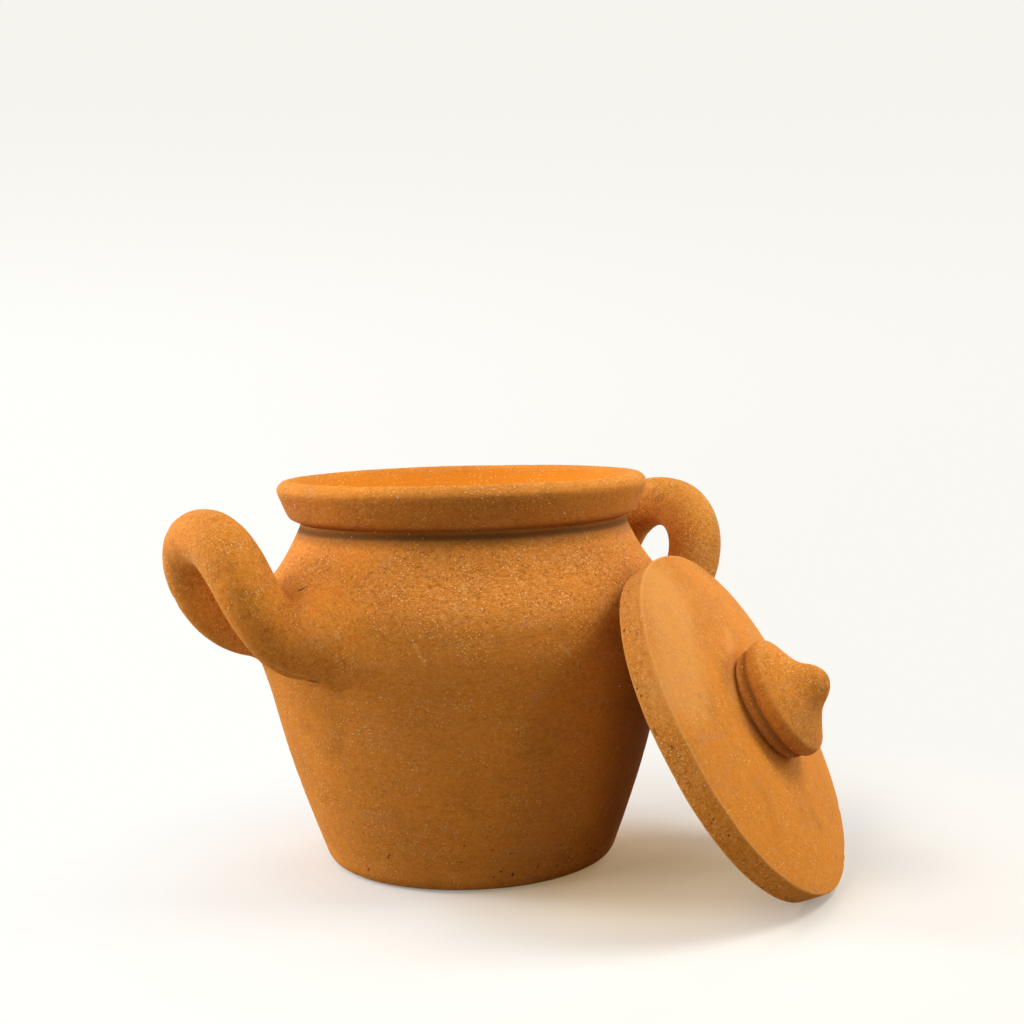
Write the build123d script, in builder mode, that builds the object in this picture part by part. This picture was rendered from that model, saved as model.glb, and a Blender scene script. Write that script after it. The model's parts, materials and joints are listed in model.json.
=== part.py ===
from build123d import *

import os
from math import asin, cos, degrees, radians, sin

# Two-handled clay pot with a loose lid that leans on its shoulder.
# Millimetres, +Z up, origin at the middle of the base, +X towards the right handle.

# Pot body
base_diameter = 89.0
belly_diameter = 132.4
belly_height = 74.0
shoulder_height = 32.5
neck_diameter = 101.2
wall = 6.0
floor_thickness = 7.0
heel_round = 5.5
inner_heel_round = 8.0
flank_lean = 20.0
neck_lean = 24.0

# Outline of the body: share of the height of the stretch, then share of its change in radius
flank_shares = ((0.55, 0.62), (0.81, 0.85))
shoulder_shares = ((0.28, 0.08), (0.54, 0.46), (0.77, 0.77))

# Rim collar
collar_height = 13.3
undercut_rise = 1.7
collar_overhang = 3.6
collar_bulge = 0.2
lip_flare = 3.4
lip_drop = 3.4
lip_width = 6.1
lip_inner_drop = 1.7
collar_edge_round = 1.4
mouth_lean = 35.0
lip_crest_share = 0.5

# Handles
rod_diameter = 17.2
handle_reach = 18.7
handle_rise = 31.9
handle_spread = 37.0
crown_pull = 24.6
root_pull = 17.8
root_lift = 5.8
handle_skew = 2.4

# Stations along each leg, from the root to the crown, and the rod's thickness there
leg_shares = (0.0, 0.16, 0.36, 0.58, 0.8)
leg_thickness_shares = (1.04, 0.94, 0.97, 1.02, 1.02)
crown_thickness_share = 0.96
stub_thickness_share = 1.3

# Lid
lid_inset = 1.3
lid_taper = 0.8
lid_thickness = 8.2
lid_dome = 5.4
lid_edge_round = 1.0
dome_flat_share = 0.45

# How the lid leans on the pot
lid_lean = 61.3
lid_side = -57.7
lid_shift = 8.3
lid_gap = 0.3
outline_samples = 200

# Knob: shares of its radius, then of its height
knob_diameter = 35.4
knob_height = 21.4
foot_shares = (0.81, 0.0)
foot_roll_shares = (0.94, 0.1)
groove_shares = (0.92, 0.2)
flange_shares = (1.0, 0.32)
flange_top_shares = (0.955, 0.435)
cone_shares = (0.65, 0.583)
tip_neck_shares = (0.4, 0.74)
tip_shares = (0.26, 0.892)

# Radii and heights that the pieces share
base_radius = base_diameter / 2
belly_radius = belly_diameter / 2
neck_radius = neck_diameter / 2
neck_height = belly_height + shoulder_height
pot_height = neck_height + collar_height
collar_foot_radius = neck_radius + collar_overhang
lip_radius = collar_foot_radius + lip_flare
crest_radius = lip_radius - lip_width * lip_crest_share
rod_radius = rod_diameter / 2
lid_radius = crest_radius - lid_inset
knob_radius = knob_diameter / 2

os.makedirs("parts", exist_ok=True)


def leaning(angle):
    """Direction in the outline, X outwards and Y up, that leans outwards from upright by angle degrees."""
    return (sin(radians(angle)), cos(radians(angle)))


def wall_outline(inset, bottom):
    """Heel, flank points, belly, shoulder points and neck of a wall surface, inset from the outside."""
    heel = (base_radius - inset, bottom)
    belly = (belly_radius - inset, belly_height)
    neck = (neck_radius - inset, neck_height)
    flank = [
        (heel[0] + swell * (belly[0] - heel[0]), heel[1] + rise * (belly[1] - heel[1]))
        for rise, swell in flank_shares
    ]
    shoulder = [
        (belly[0] + draw * (neck[0] - belly[0]), belly[1] + rise * (neck[1] - belly[1]))
        for rise, draw in shoulder_shares
    ]
    return heel, flank, belly, shoulder, neck


# Outlines drawn flat, X as the radius and Y as the height
heel, flank_points, belly, shoulder_points, neck = wall_outline(0, 0)
with BuildLine() as outside:
    Spline(heel, *flank_points, belly, tangents=(leaning(flank_lean), leaning(0)))
    Spline(belly, *shoulder_points, neck, tangents=(leaning(0), leaning(-neck_lean)))

inner_heel, inner_flank, inner_belly, inner_shoulder, throat = wall_outline(wall, floor_thickness)
with BuildLine() as inside:
    Spline(inner_heel, *inner_flank, inner_belly, tangents=(leaning(flank_lean), leaning(0)))
    Spline(inner_belly, *inner_shoulder, throat, tangents=(leaning(0), leaning(-neck_lean)))

collar_foot = (collar_foot_radius, neck_height + undercut_rise)
lip = (lip_radius, pot_height - lip_drop)
collar_side = ((collar_foot[0] + lip[0]) / 2 + collar_bulge, (collar_foot[1] + lip[1]) / 2)
crest = (crest_radius, pot_height)
inner_lip = (lip_radius - lip_width, pot_height - lip_inner_drop)
with BuildLine() as collar_outside:
    Line(neck, collar_foot)
    side_arc = ThreePointArc(collar_foot, collar_side, lip)
    Spline(lip, crest, inner_lip, tangents=(side_arc % 1, leaning(180 + mouth_lean)))

# Pot body: a thrown shell, open at the neck
with BuildPart() as pot_body:
    with BuildSketch(Plane.XZ):
        with BuildLine():
            Line((0, 0), heel)
            add(outside.line)
            Line(neck, throat)
            add(inside.line)
            Polyline(inner_heel, (0, floor_thickness), (0, 0))
        make_face()
    revolve(axis=Axis.Z)
    rings = pot_body.edges().filter_by(GeomType.CIRCLE).sort_by(Axis.Z)
    fillet(rings[0], radius=heel_round)
    rings = pot_body.edges().filter_by(GeomType.CIRCLE).filter_by_position(
        Axis.Z, floor_thickness, floor_thickness
    )
    fillet(rings, radius=inner_heel_round)
pot_body.part.label = "pot_body"

# Rim collar: a flared ring on the neck, with an undercut below it and a rounded lip
with BuildPart() as rim_collar:
    with BuildSketch(Plane.XZ):
        with BuildLine():
            Line(throat, neck)
            add(collar_outside.line)
            Spline(inner_lip, throat, tangents=(leaning(180 + mouth_lean), leaning(180 - neck_lean)))
        make_face()
    revolve(axis=Axis.Z)
    foot_edge = rim_collar.edges().filter_by(GeomType.CIRCLE).filter_by_position(
        Axis.Z, collar_foot[1], collar_foot[1]
    )
    fillet(foot_edge, radius=collar_edge_round)
rim_collar.part.label = "rim_collar"

# The pot's filled outside, to which the handles' ends are cut
with BuildPart() as pot_filled:
    with BuildSketch(Plane.XZ):
        with BuildLine():
            Line((0, 0), heel)
            add(outside.line)
            Polyline(neck, (0, neck_height), (0, 0))
        make_face()
    revolve(axis=Axis.Z)

# Handle path: a stub in the wall, a leg up to the crown and the same down again
handle_frame = Plane.XY.rotated((0, 0, handle_skew))
root_angle = degrees(asin(handle_spread / 2 / belly_radius))


def on_handle(outwards, sideways, height):
    """Point in the handle's own frame: outwards along its middle, sideways across it, and up."""
    return handle_frame.from_local_coords(Vector(outwards, sideways, height))


def root_direction(side):
    """Direction in which the leg on one side leaves the wall."""
    return handle_frame.from_local_coords(Vector(1, 0, 0)).rotate(Axis.Z, side * root_angle) * cos(
        radians(root_lift)
    ) + Vector(0, 0, sin(radians(root_lift)))


def root_point(side):
    """Point where the middle of the leg on one side meets the wall."""
    return on_handle(belly_radius, 0, belly_height).rotate(Axis.Z, side * root_angle)


crown = on_handle(belly_radius + handle_reach, 0, belly_height + handle_rise)
crown_direction = on_handle(0, 1, 0)
with BuildLine() as arch:
    first_stub = Line(root_point(-1) - root_direction(-1) * wall, root_point(-1))
    first_leg = Bezier(
        root_point(-1),
        root_point(-1) + root_direction(-1) * root_pull,
        crown - crown_direction * crown_pull,
        crown,
    )
    second_leg = Bezier(
        crown,
        crown + crown_direction * crown_pull,
        root_point(1) + root_direction(1) * root_pull,
        root_point(1),
    )
    second_stub = Line(root_point(1), root_point(1) - root_direction(1) * wall)

legs = list(zip(leg_shares, leg_thickness_shares))
stations = [(first_stub, 0, stub_thickness_share)]
stations += [(first_leg, share, thickness) for share, thickness in legs]
stations += [(first_leg, 1, crown_thickness_share)]
stations += [(second_leg, 1 - share, thickness) for share, thickness in reversed(legs)]
stations += [(second_stub, 1, stub_thickness_share)]
arch_normal = crown_direction.cross(crown - (root_point(-1) + root_point(1)) / 2)

# Right handle: a rod lofted along the arch, its ends cut to the wall
with BuildPart() as right_handle:
    for stretch, share, thickness in stations:
        with BuildSketch(Plane(origin=stretch @ share, x_dir=arch_normal, z_dir=stretch % share)):
            Circle(rod_radius * thickness)
    loft()
    add(pot_filled.part, mode=Mode.SUBTRACT)
right_handle.part.label = "right_handle"

# Left handle: the same on the other side
with BuildPart() as left_handle:
    mirror(right_handle.part, about=Plane.YZ)
left_handle.part.label = "left_handle"

# Where the lid leans: its lower edge on the floor, its flat face on the pot with a hair's gap
lean = radians(lid_lean)
side = radians(lid_side)
lid_axis = Vector(cos(side) * sin(lean), sin(side) * sin(lean), cos(lean))
lid_level = Vector(-sin(side), cos(side), 0)
lid_outwards = Vector(cos(side), sin(side), 0)
centre_height = (lid_radius - lid_edge_round) * sin(lean) + lid_edge_round * (1 - cos(lean))
lid_top = centre_height + lid_radius * sin(lean)
pot_edges = outside.edges() + collar_outside.edges()
pot_points = [edge @ (step / outline_samples) for edge in pot_edges for step in range(outline_samples + 1)]
face_distance = lid_gap + max(
    point.X * sin(lean) + point.Y * cos(lean) for point in pot_points if point.Y <= lid_top
)
centre_reach = (face_distance - centre_height * cos(lean)) / sin(lean)
lid_centre = lid_outwards * centre_reach - lid_level * lid_shift + Vector(0, 0, centre_height)
lid_section = Plane(origin=lid_centre, x_dir=lid_level, z_dir=lid_level.cross(lid_axis))
lid_turn = Axis(lid_centre, lid_axis)


def on_knob(shares):
    """Point of the knob's outline in the lid's section, from shares of its radius and its height."""
    return (knob_radius * shares[0], lid_thickness + lid_dome + knob_height * shares[1])


foot = on_knob(foot_shares)

# Lid plate: flat underneath, slightly domed on top up to the flat land under the knob
with BuildPart() as lid_plate:
    with BuildSketch(lid_section):
        top_edge = (lid_radius + lid_taper, lid_thickness)
        dome_end = foot[0] + dome_flat_share * (top_edge[0] - foot[0])
        with BuildLine():
            Polyline((0, foot[1]), (0, 0), (lid_radius, 0), top_edge)
            Bezier(top_edge, (dome_end, foot[1]), foot)
            Line(foot, (0, foot[1]))
        make_face()
    revolve(axis=lid_turn)
    rings = lid_plate.edges().filter_by(GeomType.CIRCLE).sort_by(lid_turn)
    fillet(rings[:2], radius=lid_edge_round)
lid_plate.part.label = "lid_plate"

# Lid knob: two rolls at the foot, a hollow cone and a rounded tip
with BuildPart() as lid_knob:
    with BuildSketch(lid_section):
        knob_top = (0, foot[1] + knob_height)
        with BuildLine():
            Line((0, foot[1]), foot)
            ThreePointArc(foot, on_knob(foot_roll_shares), on_knob(groove_shares))
            ThreePointArc(on_knob(groove_shares), on_knob(flange_shares), on_knob(flange_top_shares))
            ThreePointArc(on_knob(flange_top_shares), on_knob(cone_shares), on_knob(tip_neck_shares))
            Spline(
                on_knob(tip_neck_shares),
                on_knob(tip_shares),
                knob_top,
                tangents=(leaning(0), leaning(-90)),
            )
            Line(knob_top, (0, foot[1]))
        make_face()
    revolve(axis=lid_turn)
lid_knob.part.label = "lid_knob"

for piece in (pot_body, rim_collar, left_handle, right_handle, lid_plate, lid_knob):
    export_step(piece.part, f"parts/{piece.part.label}.step")

print("lid axis", lid_axis, "lid centre", lid_centre)
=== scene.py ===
"""Looks of a two-handled clay pot whose loose lid leans on its shoulder.

Metres, +Z up, origin at the middle of the base, +X towards the right handle.
"""

import json
import logging
import math
from dataclasses import dataclass, fields
from enum import Enum
from typing import Any, Mapping, Optional, Sequence, Union

import bmesh
import bpy
import numpy as np
from mathutils import Matrix, Vector
from mathutils.bvhtree import BVHTree


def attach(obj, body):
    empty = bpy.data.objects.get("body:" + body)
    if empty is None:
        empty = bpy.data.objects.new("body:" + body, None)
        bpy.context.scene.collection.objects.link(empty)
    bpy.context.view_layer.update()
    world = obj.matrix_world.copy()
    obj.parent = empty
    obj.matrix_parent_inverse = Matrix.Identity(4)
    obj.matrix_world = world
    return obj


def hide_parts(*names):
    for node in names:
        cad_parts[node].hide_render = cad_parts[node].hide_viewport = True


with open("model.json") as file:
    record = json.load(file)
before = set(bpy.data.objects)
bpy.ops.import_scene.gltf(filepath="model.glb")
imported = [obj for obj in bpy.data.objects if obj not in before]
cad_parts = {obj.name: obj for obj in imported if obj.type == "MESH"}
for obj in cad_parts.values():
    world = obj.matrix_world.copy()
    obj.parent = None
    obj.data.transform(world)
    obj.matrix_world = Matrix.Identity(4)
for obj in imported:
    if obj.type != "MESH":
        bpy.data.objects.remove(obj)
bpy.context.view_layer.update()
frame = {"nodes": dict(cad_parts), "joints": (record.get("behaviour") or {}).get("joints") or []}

MM = 0.001
LOG = logging.getLogger("clay_pot")

# Points closer than this are one point
SEAM = 0.001 * MM
# What Blender's noise comes to on average
NOISE_MIDDLE = 0.47
# Radius of a bend that counts as a full edge
EDGE_SIZE = 1.2 * MM
# Steps in which a curve is worked out, before its points are spaced evenly
CURVE_STEPS = 60
# Rows over which each value of a turned outline blends into that of the next stretch
BLEND_ROWS = {"give": 3, "grit": 8, "pits": 8, "dirt": 2, "vivid": 4}

Colour = tuple[float, float, float]
Place = tuple[float, float, float]
Term = Union["Wire", float, int, str, Sequence[float], bpy.types.ID]


class Body(Enum):
    """The frame's bodies, which the pieces ride on."""

    POT = "pot"
    LID = "lid"


class Side(Enum):
    """The side of the pot that a handle is on, with the sign of its X."""

    RIGHT = 1
    LEFT = -1


class End(Enum):
    """The end of a handle's rod, with the sign of its place along the belly."""

    FRONT = -1
    BACK = 1


class Making(Enum):
    """How a piece of clay was formed, which sets the marks left in its surface."""

    THROWN = "thrown"
    ROLLED = "rolled"


# Node trees as Python expressions


def find_socket(sockets: Any, key: Union[str, int]) -> Optional[bpy.types.NodeSocket]:
    """Finds a socket of a node.

    Args:
        sockets: The node's inputs or outputs.
        key: The socket's place, identifier or name.

    Returns:
        The socket, or None on a node that has none.
    """
    if not len(sockets):
        return None
    if isinstance(key, int):
        return sockets[key]
    for socket in sockets:
        if socket.identifier == key:
            return socket
    return sockets[key]


class Wire:
    """A node's output socket, on which Python arithmetic adds Math nodes."""

    def __init__(self, sheet: "Sheet", socket: Optional[bpy.types.NodeSocket]) -> None:
        """Keeps the socket and the sheet that it is on."""
        self.sheet = sheet
        self.socket = socket

    def other(self, output: str) -> "Wire":
        """Another output of the same node."""
        return Wire(self.sheet, find_socket(self.socket.node.outputs, output))

    def math(self, operation: str, first: Term, second: Term = 0.0) -> "Wire":
        """Adds a Math node of that operation."""
        return self.sheet.node("ShaderNodeMath", {"operation": operation}, {0: first, 1: second})

    def __add__(self, other: Term) -> "Wire":
        """Sum."""
        return self.math("ADD", self, other)

    def __radd__(self, other: Term) -> "Wire":
        """Sum with a number on the left."""
        return self.math("ADD", other, self)

    def __sub__(self, other: Term) -> "Wire":
        """Difference."""
        return self.math("SUBTRACT", self, other)

    def __rsub__(self, other: Term) -> "Wire":
        """Difference from a number on the left."""
        return self.math("SUBTRACT", other, self)

    def __mul__(self, other: Term) -> "Wire":
        """Product."""
        return self.math("MULTIPLY", self, other)

    def __rmul__(self, other: Term) -> "Wire":
        """Product with a number on the left."""
        return self.math("MULTIPLY", other, self)

    def __truediv__(self, other: Term) -> "Wire":
        """Quotient."""
        return self.math("DIVIDE", self, other)

    def __rtruediv__(self, other: Term) -> "Wire":
        """Quotient of a number on the left."""
        return self.math("DIVIDE", other, self)

    def whole(self) -> "Wire":
        """The value rounded down."""
        return self.math("FLOOR", self)

    def between(self, low: float, high: float) -> "Wire":
        """A smooth step from 0 at low to 1 at high, which may be the lower of the two."""
        return self.sheet.node(
            "ShaderNodeMapRange",
            {"interpolation_type": "SMOOTHSTEP"},
            {"Value": self, "From Min": low, "From Max": high},
        )


class Sheet:
    """A node tree that is written as expressions."""

    def __init__(self, tree: bpy.types.NodeTree) -> None:
        """Keeps the tree that the nodes are added to."""
        self.tree = tree

    def node(
        self,
        kind: str,
        settings: Optional[Mapping[str, Any]] = None,
        sockets: Optional[Mapping[Union[str, int], Term]] = None,
        output: Union[str, int] = 0,
    ) -> Wire:
        """Adds a node of any type.

        Args:
            kind: The node's type.
            settings: Its properties, set first; "stops" are a ramp's places and colours.
            sockets: Values or wires for its inputs, by place, identifier or name.
            output: The output that is returned.

        Returns:
            The output as a wire.
        """
        node = self.tree.nodes.new(kind)
        for name, value in (settings or {}).items():
            if name == "stops":
                self._set_stops(node.color_ramp.elements, value)
            else:
                setattr(node, name, value)
        for key, value in (sockets or {}).items():
            socket = find_socket(node.inputs, key)
            if isinstance(value, Wire):
                self.tree.links.new(value.socket, socket)
            else:
                socket.default_value = value
        return Wire(self, find_socket(node.outputs, output))

    @staticmethod
    def _set_stops(elements: Any, stops: Sequence[tuple[float, Colour]]) -> None:
        """Gives a ramp its stops.

        Args:
            elements: The ramp's elements, of which a new ramp has two.
            stops: Places from 0 to 1, with their colours.
        """
        while len(elements) < len(stops):
            elements.new(1.0)
        for element, (place, colour) in zip(elements, stops):
            element.position = place
            element.color = (*colour, 1.0)

    def noise(self, vector: Term, scale: float, detail: float = 2.0, warp: float = 0.0) -> Wire:
        """Adds a noise texture with features of about 1 / scale."""
        sockets = {"Vector": vector, "Scale": scale, "Detail": detail, "Distortion": warp}
        return self.node("ShaderNodeTexNoise", {}, sockets)

    def mix(self, share: Term, first: Term, second: Term, blend: str = "MIX") -> Wire:
        """Mixes two colours.

        Args:
            share: How much of the second colour shows.
            first: The colour underneath.
            second: The colour on top.
            blend: The Mix node's blend type.

        Returns:
            The mixed colour.
        """
        return self.node(
            "ShaderNodeMix",
            {"data_type": "RGBA", "blend_type": blend},
            {"Factor_Float": share, "A_Color": opaque(first), "B_Color": opaque(second)},
            "Result_Color",
        )

    def vector(
        self, operation: str, first: Term, second: Term = (0.0, 0.0, 0.0), output: str = "Vector"
    ) -> Wire:
        """Adds a Vector Math node of that operation."""
        key = "Scale" if operation == "SCALE" else 1
        return self.node("ShaderNodeVectorMath", {"operation": operation}, {0: first, key: second}, output)

    def vector_of(self, x: Term, y: Term, z: Term) -> Wire:
        """Joins three values into a vector."""
        return self.node("ShaderNodeCombineXYZ", {}, {"X": x, "Y": y, "Z": z})

    def parts_of(self, vector: Wire) -> tuple[Wire, Wire, Wire]:
        """Splits a vector into its three values."""
        first = self.node("ShaderNodeSeparateXYZ", {}, {"Vector": vector}, "X")
        return first, first.other("Y"), first.other("Z")


def opaque(colour: Term) -> Term:
    """A plain colour with its alpha added, or the wire as it is."""
    return colour if isinstance(colour, Wire) else (*colour, 1.0)


# Geometry Nodes tools


def input_name(field_name: str) -> str:
    """The name of a tree's input, from the name of the field that holds its value."""
    return field_name.replace("_", " ").title()


@dataclass(frozen=True)
class ToolSizes:
    """Values of a tool's named inputs, each in a field of that name."""

    @classmethod
    def kinds(cls) -> dict[str, str]:
        """The kind of socket of each named input."""
        return {input_name(field.name): field.type.__name__.capitalize() for field in fields(cls)}

    def values(self) -> dict[str, float]:
        """The value of each named input."""
        return {input_name(field.name): getattr(self, field.name) for field in fields(self)}


@dataclass(frozen=True)
class TurnedSizes(ToolSizes):
    """Segments of a turned piece, the depths and scales of its marks, and the seed of its noise."""

    segments: int
    wobble_depth: float
    wobble_scale: float
    ring_depth: float
    ring_scale: float
    dent_depth: float
    dent_scale: float
    seed: int


@dataclass(frozen=True)
class RolledSizes(ToolSizes):
    """Depths and scales of the marks in a rolled piece, and the seed of their noise."""

    hollow_depth: float
    hollow_scale: float
    dent_depth: float
    dent_scale: float
    seed: int


@dataclass(frozen=True)
class GrainSizes(ToolSizes):
    """How thickly grains lie, their radius, how far they sink in, their patches and their seed."""

    grains_per_area: float
    grain_radius: float
    grain_sink: float
    patch_scale: float
    seed: int


class ClayTool:
    """A Geometry Nodes tree with named inputs that works clay, one mesh at a time."""

    label = "clay_tool"
    sizes: type[ToolSizes] = ToolSizes

    def __init__(self) -> None:
        """Builds the tree, which ends in Realize Instances and Set Material."""
        self.tree = bpy.data.node_groups.new(self.label, "GeometryNodeTree")
        face = self.tree.interface
        face.new_socket("Clay", in_out="INPUT", socket_type="NodeSocketGeometry")
        for name, kind in self.sizes.kinds().items():
            face.new_socket(name, in_out="INPUT", socket_type="NodeSocket" + kind)
        face.new_socket("Material", in_out="INPUT", socket_type="NodeSocketMaterial")
        face.new_socket("Clay", in_out="OUTPUT", socket_type="NodeSocketGeometry")
        sheet = Sheet(self.tree)
        source = sheet.node("NodeGroupInput", {}, {}, "Clay")
        made = sheet.node("GeometryNodeRealizeInstances", {}, {"Geometry": self.work(sheet, source)})
        sockets = {"Geometry": made, "Material": source.other("Material")}
        dressed = sheet.node("GeometryNodeSetMaterial", {}, sockets)
        sheet.node("NodeGroupOutput", {}, {"Clay": dressed})

    def work(self, sheet: Sheet, source: Wire) -> Wire:
        """Adds the tool's own nodes.

        Args:
            sheet: The sheet that the nodes go on.
            source: The group's input geometry, whose other outputs are the named inputs.

        Returns:
            The worked geometry.
        """
        raise NotImplementedError

    def run(
        self, name: str, mesh: bpy.types.Mesh, finish: bpy.types.Material, sizes: ToolSizes
    ) -> bpy.types.Object:
        """Works a mesh and leaves a plain piece with no modifier.

        Args:
            name: The piece's name.
            mesh: What the tree starts from, which is used up.
            finish: The material that the piece gets.
            sizes: Values of the tree's named inputs.

        Returns:
            The finished piece, at the origin.
        """
        piece = bpy.data.objects.new(name, mesh)
        bpy.context.scene.collection.objects.link(piece)
        modifier = piece.modifiers.new(self.label, "NODES")
        modifier.node_group = self.tree
        items = [item for item in self.tree.interface.items_tree if item.in_out == "INPUT"]
        keys = {item.name: item.identifier for item in items}
        for label, value in {**sizes.values(), "Material": finish}.items():
            modifier[keys[label]] = value
        worked = piece.evaluated_get(bpy.context.evaluated_depsgraph_get())
        made = bpy.data.meshes.new_from_object(worked)
        piece.modifiers.remove(modifier)
        piece.data = made
        bpy.data.meshes.remove(mesh)
        made.name = name
        return piece

    @staticmethod
    def attribute(sheet: Sheet, name: str) -> Wire:
        """Reads a named value of the mesh's points."""
        return sheet.node("GeometryNodeInputNamedAttribute", {"data_type": "FLOAT"}, {"Name": name})

    @staticmethod
    def pressed(sheet: Sheet, clay: Wire, depth: Wire) -> Wire:
        """Presses the surface in by a depth along its normal."""
        inwards = sheet.vector("SCALE", sheet.node("GeometryNodeInputNormal"), 0.0 - depth)
        return sheet.node("GeometryNodeSetPosition", {}, {"Geometry": clay, "Offset": inwards})

    @staticmethod
    def seeded_noise(sheet: Sheet, vector: Wire, scale: Term, seed: Wire, detail: float) -> Wire:
        """Noise from 0 to 1 that another seed makes anew."""
        sockets = {"Vector": vector, "W": seed, "Scale": scale, "Detail": detail}
        return sheet.node("ShaderNodeTexNoise", {"noise_dimensions": "4D"}, sockets)


class PottersWheel(ClayTool):
    """Turns an outline round the upright axis, a little out of round and with the fingers' rings."""

    label = "potters_wheel"
    sizes = TurnedSizes
    row_values = ("run", *BLEND_ROWS)
    dent_band = (0.55, 0.8)

    def work(self, sheet: Sheet, source: Wire) -> Wire:
        """Adds the grid that is bent round, its closed seam and the marks of the hand.

        Args:
            sheet: The sheet that the nodes go on.
            source: The outline's points, radius along X and height along Z.

        Returns:
            The turned piece.
        """
        segments = source.other("Segments")
        seed = source.other("Seed")
        columns = segments + 1.0
        size = {"component": "MESH"}
        rows = sheet.node("GeometryNodeAttributeDomainSize", size, {"Geometry": source}, "Point Count")
        clay = sheet.node("GeometryNodeMeshGrid", {}, {"Vertices X": rows, "Vertices Y": columns}, "Mesh")
        index = sheet.node("GeometryNodeInputIndex")
        row = (index / columns).whole()
        turn = (index - row * columns) / segments * math.tau
        position = sheet.node("GeometryNodeInputPosition")
        radius, _, height = sheet.parts_of(self.on_row(sheet, source, position, row, "FLOAT_VECTOR"))
        cosine, sine = turn.math("COSINE", turn), turn.math("SINE", turn)
        place = sheet.vector_of(radius * cosine, radius * sine, height)
        clay = sheet.node("GeometryNodeSetPosition", {}, {"Geometry": clay, "Position": place})
        for name in self.row_values:
            value = self.on_row(sheet, source, self.attribute(sheet, name), row, "FLOAT")
            settings = {"data_type": "FLOAT", "domain": "POINT"}
            sockets = {"Geometry": clay, "Name": name, "Value": value}
            clay = sheet.node("GeometryNodeStoreNamedAttribute", settings, sockets)
        clay = sheet.node("GeometryNodeMergeByDistance", {}, {"Geometry": clay, "Distance": SEAM})
        across, deep, _ = sheet.parts_of(position)
        heading = sheet.vector("NORMALIZE", sheet.vector_of(across, deep, 0.0))
        ring_x, ring_y, _ = sheet.parts_of(heading)
        coil = sheet.vector_of(ring_x, ring_y, self.attribute(sheet, "run") * source.other("Ring Scale"))
        wobble = self.seeded_noise(sheet, position, source.other("Wobble Scale"), seed, 1.0)
        rings = self.seeded_noise(sheet, coil, 1.0, seed + 1.0, 2.0)
        dents = self.seeded_noise(sheet, position, source.other("Dent Scale"), seed + 2.0, 3.0)
        depth = (
            (wobble - NOISE_MIDDLE) * source.other("Wobble Depth")
            + (rings - NOISE_MIDDLE) * source.other("Ring Depth")
            + dents.between(*self.dent_band) * source.other("Dent Depth")
        )
        clay = self.pressed(sheet, clay, depth * self.attribute(sheet, "give"))
        return sheet.node("GeometryNodeSetShadeSmooth", {}, {"Geometry": clay})

    @staticmethod
    def on_row(sheet: Sheet, outline: Wire, value: Wire, row: Wire, data_type: str) -> Wire:
        """Reads a value of the outline's point of that row.

        Args:
            sheet: The sheet that the node goes on.
            outline: The outline's points.
            value: What is read.
            row: The point's number.
            data_type: The kind of value.

        Returns:
            The value.
        """
        settings = {"data_type": data_type, "domain": "POINT"}
        sockets = {"Geometry": outline, "Value": value, "Index": row}
        return sheet.node("GeometryNodeSampleIndex", settings, sockets)


class RollingHand(ClayTool):
    """Presses soft hollows into a rod that was rolled and bent by hand."""

    label = "rolling_hand"
    sizes = RolledSizes
    dent_band = (0.5, 0.8)

    def work(self, sheet: Sheet, source: Wire) -> Wire:
        """Adds broad hollows and small dents.

        Args:
            sheet: The sheet that the nodes go on.
            source: The smooth rod.

        Returns:
            The rod with its marks.
        """
        seed = source.other("Seed")
        position = sheet.node("GeometryNodeInputPosition")
        hollows = self.seeded_noise(sheet, position, source.other("Hollow Scale"), seed, 1.0)
        dents = self.seeded_noise(sheet, position, source.other("Dent Scale"), seed + 1.0, 3.0)
        depth = (hollows - NOISE_MIDDLE) * source.other("Hollow Depth")
        depth = depth + dents.between(*self.dent_band) * source.other("Dent Depth")
        clay = self.pressed(sheet, source, depth * self.attribute(sheet, "give"))
        return sheet.node("GeometryNodeSetShadeSmooth", {}, {"Geometry": clay})


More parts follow.
